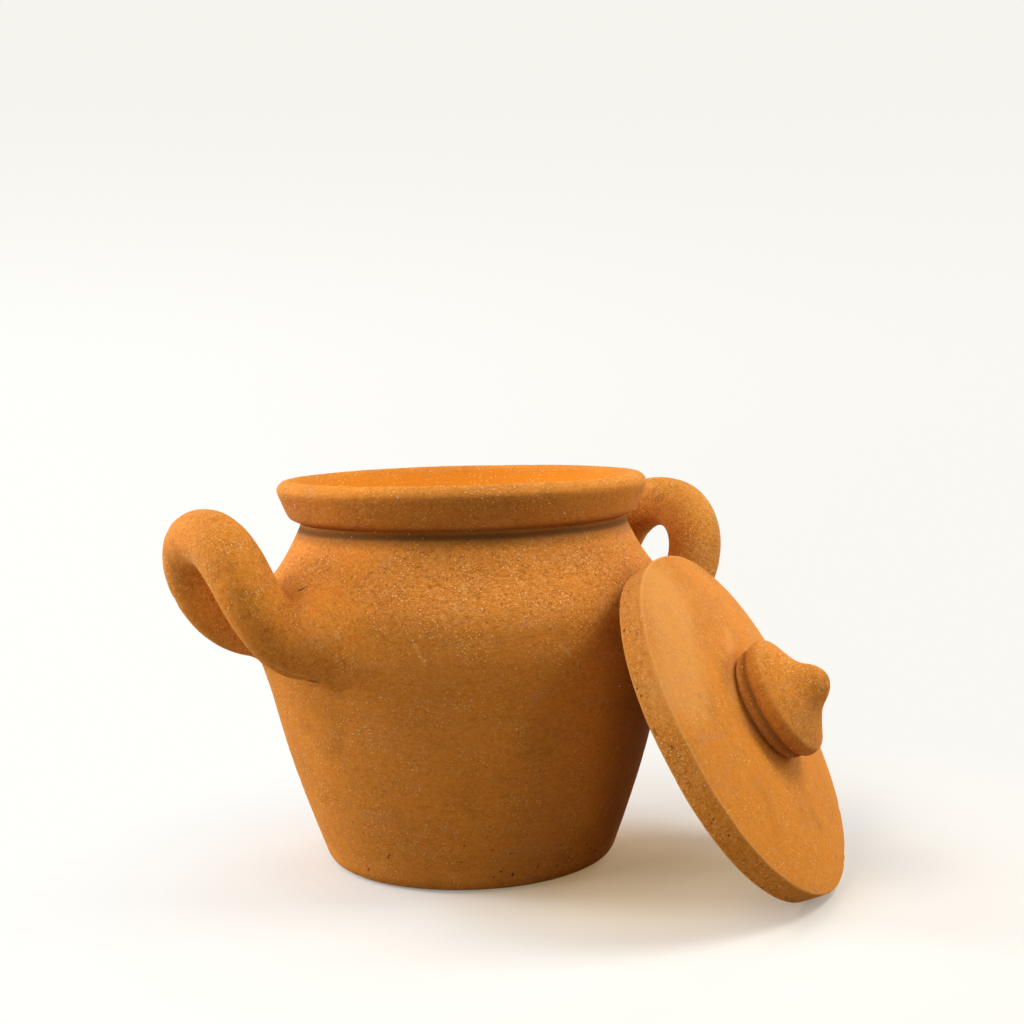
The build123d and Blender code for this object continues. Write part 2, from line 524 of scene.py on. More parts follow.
class GritSieve(ClayTool):
    """Scatters grains of sand that stand a little out of the clay."""

    label = "grit_sieve"
    sizes = GrainSizes
    patch_band = (0.4, 0.68)
    sparse = 0.25
    crowding = 1.5
    smallest = 0.45
    growth = 0.75
    stretches = (0.7, 1.3)

    def work(self, sheet: Sheet, source: Wire) -> Wire:
        """Adds the scattered points and a small faceted grain on each.

        Args:
            sheet: The sheet that the nodes go on.
            source: The clay's surface, with its share of grit.

        Returns:
            The grains alone.
        """
        seed = source.other("Seed")
        position = sheet.node("GeometryNodeInputPosition")
        patches = self.seeded_noise(sheet, position, source.other("Patch Scale"), seed, 2.0)
        density = source.other("Grains Per Area") * self.attribute(sheet, "grit")
        density = density * (self.sparse + self.crowding * patches.between(*self.patch_band))
        sockets = {"Mesh": source, "Density": density, "Seed": seed}
        points = sheet.node("GeometryNodeDistributePointsOnFaces", {}, sockets, "Points")
        small = self.random(sheet, 0.0, 1.0, seed)
        radius = source.other("Grain Radius") * (self.smallest + self.growth * small * small)
        sunk = sheet.vector("SCALE", points.other("Normal"), 0.0 - radius * source.other("Grain Sink"))
        points = sheet.node("GeometryNodeSetPosition", {}, {"Geometry": points, "Offset": sunk})
        turn = sheet.vector_of(*(self.random(sheet, 0.0, math.tau, seed + draw) for draw in (1.0, 2.0, 3.0)))
        wide, deep = (radius * self.random(sheet, *self.stretches, seed + draw) for draw in (4.0, 5.0))
        scale = sheet.vector_of(wide, deep, radius)
        grain = sheet.node("GeometryNodeMeshIcoSphere", {}, {"Radius": 1.0, "Subdivisions": 1}, "Mesh")
        sockets = {"Points": points, "Instance": grain, "Rotation": turn, "Scale": scale}
        grains = sheet.node("GeometryNodeInstanceOnPoints", {}, sockets)
        settings = {"data_type": "FLOAT", "domain": "INSTANCE"}
        sockets = {"Geometry": grains, "Name": "tint", "Value": self.random(sheet, 0.0, 1.0, seed + 6.0)}
        return sheet.node("GeometryNodeStoreNamedAttribute", settings, sockets)

    @staticmethod
    def random(sheet: Sheet, low: float, high: float, seed: Term) -> Wire:
        """A random number for each grain."""
        sockets = {"Min_001": low, "Max_001": high, "Seed": seed}
        return sheet.node("FunctionNodeRandomValue", {"data_type": "FLOAT"}, sockets, "Value_001")


# Outlines, as radius and height


@dataclass
class Stretch:
    """One stretch of a turned outline, and how it ends at the next.

    Fields: the line's points; how far the hand's marks may press it, its share of sand, of pits, of painted
    shade and of painted bounce light, each 0 to 1; and how far from the corner with the next stretch the
    rounding reaches.
    """

    line: np.ndarray
    give: float = 1.0
    grit: float = 1.0
    pits: float = 0.1
    dirt: float = 0.0
    vivid: float = 0.0
    rounding: float = 0.0


def lengths_along(line: np.ndarray) -> np.ndarray:
    """Length along a line from its start to each of its points."""
    steps = np.linalg.norm(np.diff(line, axis=0), axis=1)
    return np.concatenate([[0.0], np.cumsum(steps)])


def spaced(line: np.ndarray, spacing: float) -> np.ndarray:
    """Spaces the points of a line evenly.

    Args:
        line: The line's points.
        spacing: Distance between the new points, which is evened out to fit.

    Returns:
        The same line with new points.
    """
    run = lengths_along(line)
    count = max(2, int(round(run[-1] / spacing)) + 1)
    places = np.linspace(0.0, run[-1], count)
    return np.stack([np.interp(places, run, column) for column in line.T], axis=1)


def straight(start: Sequence[float], end: Sequence[float], spacing: float) -> np.ndarray:
    """A straight line of evenly spaced points."""
    return spaced(np.array([start, end], float), spacing)


def leaning(degrees: float) -> tuple[float, float]:
    """A direction that leans outwards from upright by an angle."""
    return math.sin(math.radians(degrees)), math.cos(math.radians(degrees))


def smooth_line(
    points: Sequence[Sequence[float]], start: Sequence[float], end: Sequence[float], spacing: float
) -> np.ndarray:
    """A smooth curve through points, with its directions at both ends.

    Args:
        points: What it goes through.
        start: Its direction at the first point.
        end: Its direction at the last point.
        spacing: Distance between the points of the result.

    Returns:
        The curve's points.
    """
    knots = np.array(points, float)
    spans = np.linalg.norm(np.diff(knots, axis=0), axis=1)
    count = len(knots)
    weights = np.eye(count)
    slopes = np.zeros_like(knots)
    slopes[0] = np.array(start) / np.linalg.norm(start)
    slopes[-1] = np.array(end) / np.linalg.norm(end)
    for i in range(1, count - 1):
        before, after = spans[i - 1], spans[i]
        weights[i, i - 1 : i + 2] = (1.0 / before, 2.0 / before + 2.0 / after, 1.0 / after)
        rise_before = (knots[i] - knots[i - 1]) / before**2
        rise_after = (knots[i + 1] - knots[i]) / after**2
        slopes[i] = 3.0 * (rise_before + rise_after)
    slopes = np.linalg.solve(weights, slopes)
    share = np.linspace(0.0, 1.0, CURVE_STEPS)[:, None]
    pieces = []
    for i, span in enumerate(spans):
        pieces.append(
            (2 * share**3 - 3 * share**2 + 1) * knots[i]
            + (share**3 - 2 * share**2 + share) * span * slopes[i]
            + (3 * share**2 - 2 * share**3) * knots[i + 1]
            + (share**3 - share**2) * span * slopes[i + 1]
        )
    return spaced(np.concatenate(pieces), spacing)


def bent_line(start: np.ndarray, corner: np.ndarray, end: np.ndarray, count: int) -> np.ndarray:
    """A round bend from start to end that is drawn towards the corner."""
    share = np.linspace(0.0, 1.0, count)[:, None]
    return (1 - share) ** 2 * start + 2 * share * (1 - share) * corner + share**2 * end


def leg_line(points: Sequence[np.ndarray], count: int) -> np.ndarray:
    """A cubic Bezier curve.

    Args:
        points: Its four control points.
        count: Number of points along it.

    Returns:
        The curve's points.
    """
    share = np.linspace(0.0, 1.0, count)[:, None]
    first, second, third, last = points
    return (
        (1 - share) ** 3 * first
        + 3 * share * (1 - share) ** 2 * second
        + 3 * share**2 * (1 - share) * third
        + share**3 * last
    )


def cut_back(line: np.ndarray, from_start: float, from_end: float) -> np.ndarray:
    """Shortens a line at both ends.

    Args:
        line: The line's points.
        from_start: Length that is cut off at its start.
        from_end: Length that is cut off at its end.

    Returns:
        The points that are left, with new ends.
    """
    run = lengths_along(line)
    low, high = from_start, run[-1] - from_end
    inside = run[(run > low + SEAM) & (run < high - SEAM)]
    places = np.concatenate([[low], inside, [high]])
    return np.stack([np.interp(places, run, column) for column in line.T], axis=1)


def evened(values: np.ndarray, reach: int) -> np.ndarray:
    """Each value of a row averaged with its neighbours up to a reach on both sides."""
    weights = np.ones(2 * reach + 1) / (2 * reach + 1)
    return np.convolve(np.pad(values, reach, mode="edge"), weights, mode="valid")


def outline_mesh(name: str, stretches: Sequence[Stretch], bend_rows: int = 9) -> bpy.types.Mesh:
    """Joins the stretches of an outline into points that the wheel can turn.

    Args:
        name: The mesh's name.
        stretches: The outline from the axis round to the axis.
        bend_rows: Points on each rounded corner.

    Returns:
        A mesh of points with their run and the values of their stretch.
    """
    rows, owners = [], []
    for i, stretch in enumerate(stretches):
        before = stretches[i - 1].rounding if i else 0.0
        line = cut_back(stretch.line, before, stretch.rounding)
        rows.append(line)
        owners += [stretch] * len(line)
        if stretch.rounding:
            following = cut_back(stretches[i + 1].line, stretch.rounding, 0.0)
            rows.append(bent_line(line[-1], stretch.line[-1], following[0], bend_rows))
            owners += [stretch] * bend_rows
    points = np.concatenate(rows)
    kept = np.concatenate([[True], np.linalg.norm(np.diff(points, axis=0), axis=1) > SEAM])
    points = points[kept]
    mesh = bpy.data.meshes.new(name)
    mesh.from_pydata([(radius, 0.0, height) for radius, height in points], [], [])
    set_point_values(mesh, "run", lengths_along(points))
    for key, reach in BLEND_ROWS.items():
        values = np.array([getattr(owner, key) for owner in owners])[kept]
        set_point_values(mesh, key, evened(values, reach))
    return mesh


# Mesh values


def set_point_values(mesh: bpy.types.Mesh, name: str, values: np.ndarray) -> None:
    """Stores a number on each point of a mesh."""
    layer = mesh.attributes.new(name, "FLOAT", "POINT")
    layer.data.foreach_set("value", np.asarray(values, np.float32))


def point_values(mesh: bpy.types.Mesh, name: str) -> np.ndarray:
    """Reads the number on each point of a mesh.

    Args:
        mesh: The mesh.
        name: The name that the numbers are stored under.

    Returns:
        The numbers in the order of the points.
    """
    values = np.zeros(len(mesh.vertices), np.float32)
    mesh.attributes[name].data.foreach_get("value", values)
    return values


def points_of(mesh: bpy.types.Mesh) -> np.ndarray:
    """Reads the places of a mesh's points.

    Args:
        mesh: The mesh.

    Returns:
        One row for each point.
    """
    places = np.zeros(len(mesh.vertices) * 3, np.float32)
    mesh.vertices.foreach_get("co", places)
    return places.reshape(-1, 3).astype(float)


def face_outwards(mesh: bpy.types.Mesh) -> None:
    """Merges doubled points of a closed shell and turns its faces outwards.

    Args:
        mesh: The shell, which is changed.
    """
    shell = bmesh.new()
    shell.from_mesh(mesh)
    bmesh.ops.remove_doubles(shell, verts=shell.verts, dist=SEAM)
    bmesh.ops.recalc_face_normals(shell, faces=shell.faces)
    shell.to_mesh(mesh)
    shell.free()


def mark_edges(mesh: bpy.types.Mesh, passes: int = 8) -> None:
    """Stores how sharply the surface bends, above 0 on edges and below 0 in hollows, as "edge".

    Args:
        mesh: The finished mesh.
        passes: How often the value is evened out between neighbours.
    """
    places = points_of(mesh)
    normals = np.zeros(len(places) * 3, np.float32)
    mesh.vertex_normals.foreach_get("vector", normals)
    normals = normals.reshape(-1, 3)
    ends = np.zeros(len(mesh.edges) * 2, np.int32)
    mesh.edges.foreach_get("vertices", ends)
    first, second = ends.reshape(-1, 2).T
    span = places[second] - places[first]
    squared = np.maximum((span**2).sum(axis=1), SEAM**2)
    count = np.zeros(len(places))
    bend = np.zeros(len(places))
    for start, step in ((first, span), (second, -span)):
        np.add.at(count, start, 1.0)
        np.add.at(bend, start, -2.0 * (step * normals[start]).sum(axis=1) / squared)
    bend /= np.maximum(count, 1.0)
    for _ in range(passes):
        total = bend * 2.0
        np.add.at(total, first, bend[second])
        np.add.at(total, second, bend[first])
        bend = total / (count + 2.0)
    set_point_values(mesh, "edge", np.clip(bend * EDGE_SIZE, -1.0, 1.0))


def gathered(name: str, pieces: Sequence[bpy.types.Object]) -> bpy.types.Mesh:
    """Copies several pieces' surfaces into one mesh, with their share of grit.

    Args:
        name: The mesh's name.
        pieces: The pieces, which stay as they are.

    Returns:
        The joined mesh.
    """
    places, faces, grits = [], [], []
    start = 0
    for piece in pieces:
        mesh = piece.data
        places.append(points_of(mesh))
        faces += [[start + corner for corner in face.vertices] for face in mesh.polygons]
        grits.append(point_values(mesh, "grit"))
        start += len(mesh.vertices)
    joined = bpy.data.meshes.new(name)
    joined.from_pydata(np.concatenate(places).tolist(), [], faces)
    set_point_values(joined, "grit", np.concatenate(grits))
    return joined


# Finishes


def new_material(name: str) -> tuple[bpy.types.Material, Sheet]:
    """Makes an empty node material.

    Args:
        name: The material's name.

    Returns:
        The material and the sheet of its tree.
    """
    material = bpy.data.materials.new(name)
    material.use_nodes = True
    material.node_tree.nodes.clear()
    return material, Sheet(material.node_tree)


@dataclass(frozen=True)
class Mark:
    """A scratch or scuff in the clay, or a painted shadow or highlight on it.

    Fields: its two ends, its half width, its strength, whether it is dark, and the share of the half width
    that has its full strength.
    """

    start: Place
    end: Place
    reach: float
    strength: float
    dark: bool
    core: float = 0.3

    def mask(self, sheet: Sheet, place: Wire) -> Wire:
        """Draws the mark.

        Args:
            sheet: The material's sheet.
            place: Object coordinates.

        Returns:
            Its strength along the mark and 0 away from it.
        """
        line = Vector(self.end) - Vector(self.start)
        offset = sheet.vector("SUBTRACT", place, self.start)
        along = sheet.vector("DOT_PRODUCT", offset, tuple(line / line.length_squared), "Value")
        along = sheet.node("ShaderNodeClamp", {}, {"Value": along})
        nearest = sheet.vector("SCALE", tuple(line), along)
        gap = sheet.vector("LENGTH", sheet.vector("SUBTRACT", offset, nearest), output="Value")
        return gap.between(self.reach, self.core * self.reach) * self.strength


@dataclass(frozen=True)
class Band:
    """The values of a pattern that show: none at the start, all from full on, by a share."""

    start: float
    full: float
    share: float = 1.0

    def of(self, pattern: Wire) -> Wire:
        """How much shows at each place of the pattern."""
        return pattern.between(self.start, self.full) * self.share


@dataclass(frozen=True)
class Specks:
    """Round specks, one at most in each cell of a pattern.

    Fields: cells for each metre, a speck's radius as a share of its cell, the share of the cells that hold
    one, the share of the radius that has full strength, and how soft the choice of cells is.
    """

    scale: float
    radius: float
    share: float
    core: float = 0.5
    softness: float = 0.02

    def mask(self, sheet: Sheet, place: Wire) -> Wire:
        """Draws the specks.

        Args:
            sheet: The material's sheet.
            place: Object coordinates.

        Returns:
            1 on a speck and 0 beside it.
        """
        cell = sheet.node("ShaderNodeTexVoronoi", {}, {"Vector": place, "Scale": self.scale}, "Distance")
        draw = sheet.node("ShaderNodeSeparateColor", {}, {"Color": cell.other("Color")}, "Red")
        empty = 1.0 - self.share
        return cell.between(self.radius, self.core * self.radius) * draw.between(empty, empty + self.softness)


@dataclass(frozen=True)
class Terracotta:
    """Unglazed fired clay with sand, mica and small pits in it.

    A scale is a pattern's features for each metre, a stretch is how much finer it is up the piece than
    round it, a cover is how much of the clay a layer hides, and a relief is a layer's part in the bumps.
    """

    name: str
    making: Making
    marks: tuple[Mark, ...] = ()

    clay: Colour = (0.665, 0.228, 0.026)
    ember: Colour = (0.750, 0.256, 0.022)
    umber: Colour = (0.410, 0.126, 0.013)
    rose: Colour = (0.640, 0.252, 0.065)
    # Pale dust of the clay, also the colour of painted highlights.
    dust: Colour = (0.840, 0.410, 0.110)
    sand: Colour = (0.950, 0.640, 0.230)
    # Saturated orange of painted bounce light inside the pot.
    flame: Colour = (0.750, 0.226, 0.006)
    # Soot of burnt specks and scratches, also the colour of painted shadow.
    soot: Colour = (0.100, 0.033, 0.007)
    # Colour of painted shade in creases, hollows and under the collar.
    shade: Colour = (0.110, 0.042, 0.010)

    cloud_scale: float = 26.0
    patch_scale: float = 75.0
    patch_warp: float = 0.4
    smear_scale: float = 55.0
    smear_stretch: float = 3.5
    smear_warp: float = 0.8
    grain_scale: float = 1500.0
    lump_scale: float = 540.0
    grain_stretch: float = 1.0
    scrape_scale: float = 210.0
    scrape_stretch: float = 4.5
    crowd_scale: float = 95.0
    pit_patch_scale: float = 130.0
    thrown_ring_scale: float = 620.0
    rolled_ring_scale: float = 217.0
    ring_drift: float = 3.0
    ring_drift_scale: float = 34.0

    embers: Band = Band(0.35, 0.65)
    burnt_patches: Band = Band(0.50, 0.78, 0.40)
    pale_smears: Band = Band(0.58, 0.82, 0.35)
    rose_smears: Band = Band(0.46, 0.30, 0.50)
    pale_rings: Band = Band(0.50, 0.75, 0.10)
    dark_rings: Band = Band(0.50, 0.25, 0.10)
    pale_lumps: Band = Band(0.52, 0.70, 0.45)
    dark_lumps: Band = Band(0.48, 0.28, 0.75)
    pale_grain: Band = Band(0.54, 0.70, 0.60)
    dark_grain: Band = Band(0.47, 0.28, 0.85)
    scrapes: Band = Band(0.64, 0.74, 0.55)
    worn_edges: Band = Band(0.10, 0.75, 0.35)
    deep_hollows: Band = Band(-0.08, -0.60, 0.70)
    crowds: Band = Band(0.36, 0.64)
    pit_patches: Band = Band(0.42, 0.58)
    rough_lumps: Band = Band(0.25, 0.65)

    sand_specks: Specks = Specks(900.0, 0.28, 0.80)
    fine_specks: Specks = Specks(1500.0, 0.38, 0.70)
    crumb_specks: Specks = Specks(1150.0, 0.36, 0.55)
    pit_specks: Specks = Specks(560.0, 0.26, 0.30)
    least_grain: float = 0.25
    grain_by_grit: float = 0.80
    least_sand: float = 0.80
    sand_by_grit: float = 0.20
    crumb_cover: float = 0.55
    fine_cover: float = 0.65
    vivid_cover: float = 0.80
    full_cover: float = 0.85

    grain_relief: float = 0.35
    lump_relief: float = 0.45
    ring_relief: float = 0.10
    sand_relief: float = 0.30
    pit_relief: float = 0.70
    bump_depth: float = 0.50 * MM
    roughest: float = 0.96
    smoothest: float = 0.78
    sand_polish: float = 0.25
    gloss: float = 0.14
    softness: float = 0.3

    def material(self) -> bpy.types.Material:
        """Builds the clay's material: tones, rings, sand, pits, worn edges, painted shade and light, rough
        surface.

        Returns:
            The material.
        """
        material, sheet = new_material(self.name)
        place = sheet.node("ShaderNodeTexCoord", {}, {}, "Object")
        drawn = self.stretched(sheet, place, self.grain_stretch)
        scraped = self.stretched(sheet, place, self.scrape_stretch)
        edge = self.value(sheet, "edge")
        grit = self.value(sheet, "grit")
        grainy = self.least_grain + self.grain_by_grit * grit
        sandy = self.least_sand + self.sand_by_grit * grit
        grain = sheet.noise(drawn, self.grain_scale, detail=3.0)
        lumps = sheet.noise(drawn, self.lump_scale, detail=4.0)
        rings = self.rings(sheet, place)
        scrapes = sheet.noise(scraped, self.scrape_scale, detail=3.0)
        crowds = self.crowds.of(sheet.noise(place, self.crowd_scale, detail=3.0))
        sand = self.sand_specks.mask(sheet, place) * crowds * sandy
        fine_sand = self.fine_specks.mask(sheet, drawn) * grainy
        crumbs = self.crumb_specks.mask(sheet, drawn) * crowds * grainy
        pits = self.pit_specks.mask(sheet, place) * self.value(sheet, "pits")
        pits = pits * self.pit_patches.of(sheet.noise(place, self.pit_patch_scale, detail=2.0))
        layers = [
            (self.pale_rings.of(rings), self.dust),
            (self.dark_rings.of(rings), self.umber),
            (self.pale_lumps.of(lumps) * grainy, self.dust),
            (self.dark_lumps.of(lumps) * grainy, self.umber),
            (self.pale_grain.of(grain) * grainy, self.dust),
            (self.dark_grain.of(grain) * grainy, self.umber),
            (self.scrapes.of(scrapes) * grainy, self.umber),
            (crumbs * self.crumb_cover, self.soot),
            (self.worn_edges.of(edge), self.dust),
            # Painted shade: concave creases darkened.
            (self.deep_hollows.of(edge), self.shade),
            # Painted bounce light: the inside of the pot more saturated orange.
            (self.value(sheet, "vivid") * self.vivid_cover, self.flame),
            (fine_sand * self.fine_cover, self.dust),
            (sand * self.full_cover, self.sand),
            # Painted shade: darkens the undercut under the collar, the collar's outer face and the knob's
            # rolls and groove.
            (self.value(sheet, "dirt") * self.full_cover, self.shade),
            (pits * self.full_cover, self.soot),
        ]
        for mark in self.marks:
            layers.append((mark.mask(sheet, place), self.soot if mark.dark else self.dust))
        tone = self.tones(sheet, place)
        for share, colour in layers:
            tone = sheet.mix(share, tone, colour)
        height = (self.grain_relief * grain + self.lump_relief * lumps) * grainy
        height = height + self.ring_relief * rings + self.sand_relief * sand - self.pit_relief * pits
        bump = sheet.node("ShaderNodeBump", {}, {"Distance": self.bump_depth, "Height": height})
        rough = self.smoothest + (self.roughest - self.smoothest) * self.rough_lumps.of(lumps)
        sockets = {
            "Base Color": tone,
            "Roughness": rough - self.sand_polish * sand,
            "Specular IOR Level": self.gloss,
            "Diffuse Roughness": self.softness,
            "Normal": bump,
        }
        clay = sheet.node("ShaderNodeBsdfPrincipled", {}, sockets)
        sheet.node("ShaderNodeOutputMaterial", {}, {"Surface": clay})
        return material

    @staticmethod
    def value(sheet: Sheet, name: str) -> Wire:
        """Reads a value that the mesh carries on its points."""
        return sheet.node("ShaderNodeAttribute", {"attribute_name": name}, {}, "Fac")

    @staticmethod
    def stretched(sheet: Sheet, place: Wire, stretch: float) -> Wire:
        """Object coordinates for a pattern that is finer up the piece than round it."""
        return sheet.vector("MULTIPLY", place, (1.0, 1.0, stretch))

    def tones(self, sheet: Sheet, place: Wire) -> Wire:
        """Broad changes of the clay's colour: fired patches and smeared slip.

        Args:
            sheet: The material's sheet.
            place: Object coordinates.

        Returns:
            The base tone.
        """
        drawn = self.stretched(sheet, place, self.smear_stretch)
        cloud = sheet.noise(place, self.cloud_scale, detail=3.0)
        patch = sheet.noise(place, self.patch_scale, detail=5.0, warp=self.patch_warp)
        smear = sheet.noise(drawn, self.smear_scale, detail=5.0, warp=self.smear_warp)
        tone = sheet.mix(self.embers.of(cloud), self.clay, self.ember)
        tone = sheet.mix(self.burnt_patches.of(patch), tone, self.umber)
        tone = sheet.mix(self.pale_smears.of(smear), tone, self.dust)
        return sheet.mix(self.rose_smears.of(smear), tone, self.rose)

    def rings(self, sheet: Sheet, place: Wire) -> Wire:
        """Fine lines drawn by the fingers: round a thrown piece, or round a rolled rod.

        Args:
            sheet: The material's sheet.
            place: Object coordinates.

        Returns:
            A value from 0 to 1.
        """
        thrown = self.making is Making.THROWN
        scale = self.thrown_ring_scale if thrown else self.rolled_ring_scale
        drift = sheet.noise(place, self.ring_drift_scale, detail=2.0)
        across = sheet.vector_of(self.value(sheet, "run") * scale, drift * self.ring_drift, 0.0)
        return sheet.noise(across, 1.0, detail=3.0)


@dataclass(frozen=True)
class SandGrain:
    """Grains of quartz, mica and burnt sand in the clay."""

    name: str = "sand_grain"
    stops: tuple[tuple[float, Colour], ...] = (
        (0.00, (0.240, 0.090, 0.028)),
        (0.16, (0.560, 0.220, 0.050)),
        (0.45, (0.760, 0.420, 0.150)),
        (0.80, (0.880, 0.640, 0.360)),
        (1.00, (0.930, 0.800, 0.600)),
    )
    roughness: float = 0.55
    gloss: float = 0.4

    def material(self) -> bpy.types.Material:
        """Builds the grains' material, with a tone for each grain.

        Returns:
            The material.
        """
        material, sheet = new_material(self.name)
        tint = sheet.node("ShaderNodeAttribute", {"attribute_name": "tint"}, {}, "Fac")
        tone = sheet.node("ShaderNodeValToRGB", {"stops": self.stops}, {"Fac": tint}, "Color")
        sockets = {"Base Color": tone, "Roughness": self.roughness, "Specular IOR Level": self.gloss}
        grain = sheet.node("ShaderNodeBsdfPrincipled", {}, sockets)
        sheet.node("ShaderNodeOutputMaterial", {}, {"Surface": grain})
        return material


@dataclass(frozen=True)
class Backdrop:
    """Pale colours far off: on the left and the right of the view, and high up."""

    heading: float
    left: Colour = (0.998, 0.995, 0.970)
    right: Colour = (0.960, 0.942, 0.890)
    high: Colour = (0.918, 0.903, 0.848)
    spread: float = 0.32
    high_end: float = 0.20

    def low(self, sheet: Sheet, direction: Wire) -> Wire:
        """Mixes the colour in one direction at the floor's level.

        Args:
            sheet: The sheet that the nodes go on.
            direction: A direction from the pot, of length 1.

        Returns:
            The colour.
        """
        across, deep, _ = sheet.parts_of(direction)
        turn = math.radians(self.heading)
        aside = across * math.cos(turn) - deep * math.sin(turn)
        return sheet.mix(aside.between(-self.spread, self.spread), self.left, self.right)

    def shown(self, sheet: Sheet, direction: Wire) -> Wire:
        """The colour in one direction, from the floor's level up."""
        height = sheet.parts_of(direction)[2]
        return sheet.mix(height.between(0.0, self.high_end), self.low(sheet, direction), self.high)


def shown_rays(sheet: Sheet) -> Wire:
    """1 for the rays that show a surface, as against those that carry its light on."""
    rays = sheet.node("ShaderNodeLightPath", {}, {}, "Is Camera Ray")
    return rays + rays.other("Is Glossy Ray") + rays.other("Is Transmission Ray")


@dataclass(frozen=True)
class PaleFloor:
    """A pale matte floor with painted warm bounce light between the pot and its lid; far off it fades into
    the backdrop.
    """

    name: str = "pale_floor"
    colour: Colour = (0.83, 0.80, 0.74)
    # Warmer floor colour where painted bounce light lies.
    near: Colour = (0.85, 0.79, 0.67)
    bounce: Colour = (0.30, 0.27, 0.22)
    # Painted bounce light: a warm glow on the floor between the pot and its lid.
    glow: Colour = (0.94, 0.66, 0.30)
    centre: Place = (0.025, -0.055, 0.0)
    glow_start: float = 0.02
    glow_end: float = 0.08
    haze_share: float = 0.25
    haze_start: float = 0.08
    haze_end: float = 0.20
    roughness: float = 0.9
    gloss: float = 0.1

    def material(self, backdrop: Backdrop) -> bpy.types.Material:
        """Builds the floor's material, whose far part shows the backdrop's colour.

        Args:
            backdrop: What the floor fades into.

        Returns:
            The material.
        """
        material, sheet = new_material(self.name)
        place = sheet.node("ShaderNodeTexCoord", {}, {}, "Object")
        far = sheet.vector("DISTANCE", place, self.centre, "Value")
        haze = backdrop.low(sheet, sheet.vector("NORMALIZE", place))
        seen = shown_rays(sheet)
        # Painted bounce light: warm colour and glow near the centre, fading away from it.
        beyond_painted_glow = far.between(self.glow_start, self.glow_end)
        tone = sheet.mix(seen, self.bounce, sheet.mix(beyond_painted_glow, self.near, self.colour))
        sockets = {"Base Color": tone, "Roughness": self.roughness, "Specular IOR Level": self.gloss}
        matte = sheet.node("ShaderNodeBsdfPrincipled", {}, sockets)
        shown = sheet.mix(beyond_painted_glow, self.glow, haze)
        plain = sheet.node("ShaderNodeEmission", {}, {"Color": shown, "Strength": 1.0})
        fade = self.haze_share + (1.0 - self.haze_share) * far.between(self.haze_start, self.haze_end)
        both = sheet.node("ShaderNodeMixShader", {}, {0: fade * seen, 1: matte, 2: plain})
        sheet.node("ShaderNodeOutputMaterial", {}, {"Surface": both})
        return material


# Marks on this pot, in object coordinates

POT_MARKS = {
    "root_scratch": Mark((-0.0604, -0.0047, 0.0893), (-0.0586, -0.0088, 0.0909), 0.7 * MM, 0.75, True),
    "faint_scratch": Mark((-0.0603, -0.0070, 0.0892), (-0.0594, -0.0128, 0.0891), 0.5 * MM, 0.45, True),
    "left_scuff": Mark((-0.0468, -0.0466, 0.0770), (-0.0449, -0.0484, 0.0714), 0.8 * MM, 0.45, False),
    "front_scuff": Mark((-0.0111, -0.0652, 0.0751), (-0.0080, -0.0656, 0.0720), 0.9 * MM, 0.45, False),
    # Painted shadow of the lid on the pot's right flank.
    "painted_lid_shadow": Mark((0.0240, -0.0610, 0.0700), (0.0290, -0.0450, 0.0220), 26.0 * MM, 0.40, True),
}
LID_MARKS = {
    "top_chip": Mark((0.0325, -0.0629, 0.0935), (0.0320, -0.0634, 0.0932), 0.6 * MM, 0.45, True),
    "face_chip": Mark((0.0093, -0.0993, 0.0636), (0.0098, -0.0996, 0.0628), 0.6 * MM, 0.50, True),
    "small_chip": Mark((0.0180, -0.0953, 0.0641), (0.0183, -0.0955, 0.0636), 0.4 * MM, 0.45, True),
    "low_chip": Mark((0.0604, -0.1000, 0.0096), (0.0607, -0.0997, 0.0082), 0.5 * MM, 0.60, True),
    "rim_chip": Mark((-0.0079, -0.1018, 0.0555), (-0.0080, -0.1011, 0.0567), 0.9 * MM, 0.70, True),
    "edge_chip": Mark((-0.0064, -0.1055, 0.0530), (-0.0060, -0.1059, 0.0526), 0.9 * MM, 0.80, True),
    "pale_streak": Mark((0.0441, -0.0734, 0.0735), (0.0264, -0.0944, 0.0589), 3.2 * MM, 0.30, False),
    # Painted highlight on the upper part of the lid's face.
    "painted_highlight": Mark((0.0170, -0.0760, 0.0888), (0.0038, -0.1000, 0.0656), 16.0 * MM, 0.38, False),
}
ROD_MARKS = {
    # Painted highlight along the ridge under the left handle's near leg.
    "ridge_highlight_start": Mark((-0.0806, -0.0207, 0.0744), (-0.0759, -0.0213, 0.0708), 0.6 * MM, 0.50, False),
    "ridge_highlight_middle": Mark((-0.0759, -0.0213, 0.0708), (-0.0686, -0.0214, 0.0676), 0.6 * MM, 0.60, False),
    "ridge_highlight_end": Mark((-0.0686, -0.0214, 0.0676), (-0.0635, -0.0193, 0.0657), 0.6 * MM, 0.60, False),
}


# Sub-assemblies


def put_on(piece: bpy.types.Object, body: Body, *nodes: str) -> bpy.types.Object:
    """Lets a piece ride on a body, in place of the CAD nodes that it stands for.

    Args:
        piece: The finished piece.
        body: The body that carries it.
        nodes: The CAD nodes that it replaces, if any.

    Returns:
        The same piece.
    """
    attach(piece, body.value)
    if nodes:
        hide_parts(*nodes)
    LOG.info("%s on %s: %d faces", piece.name, body.value, len(piece.data.polygons))
    return piece


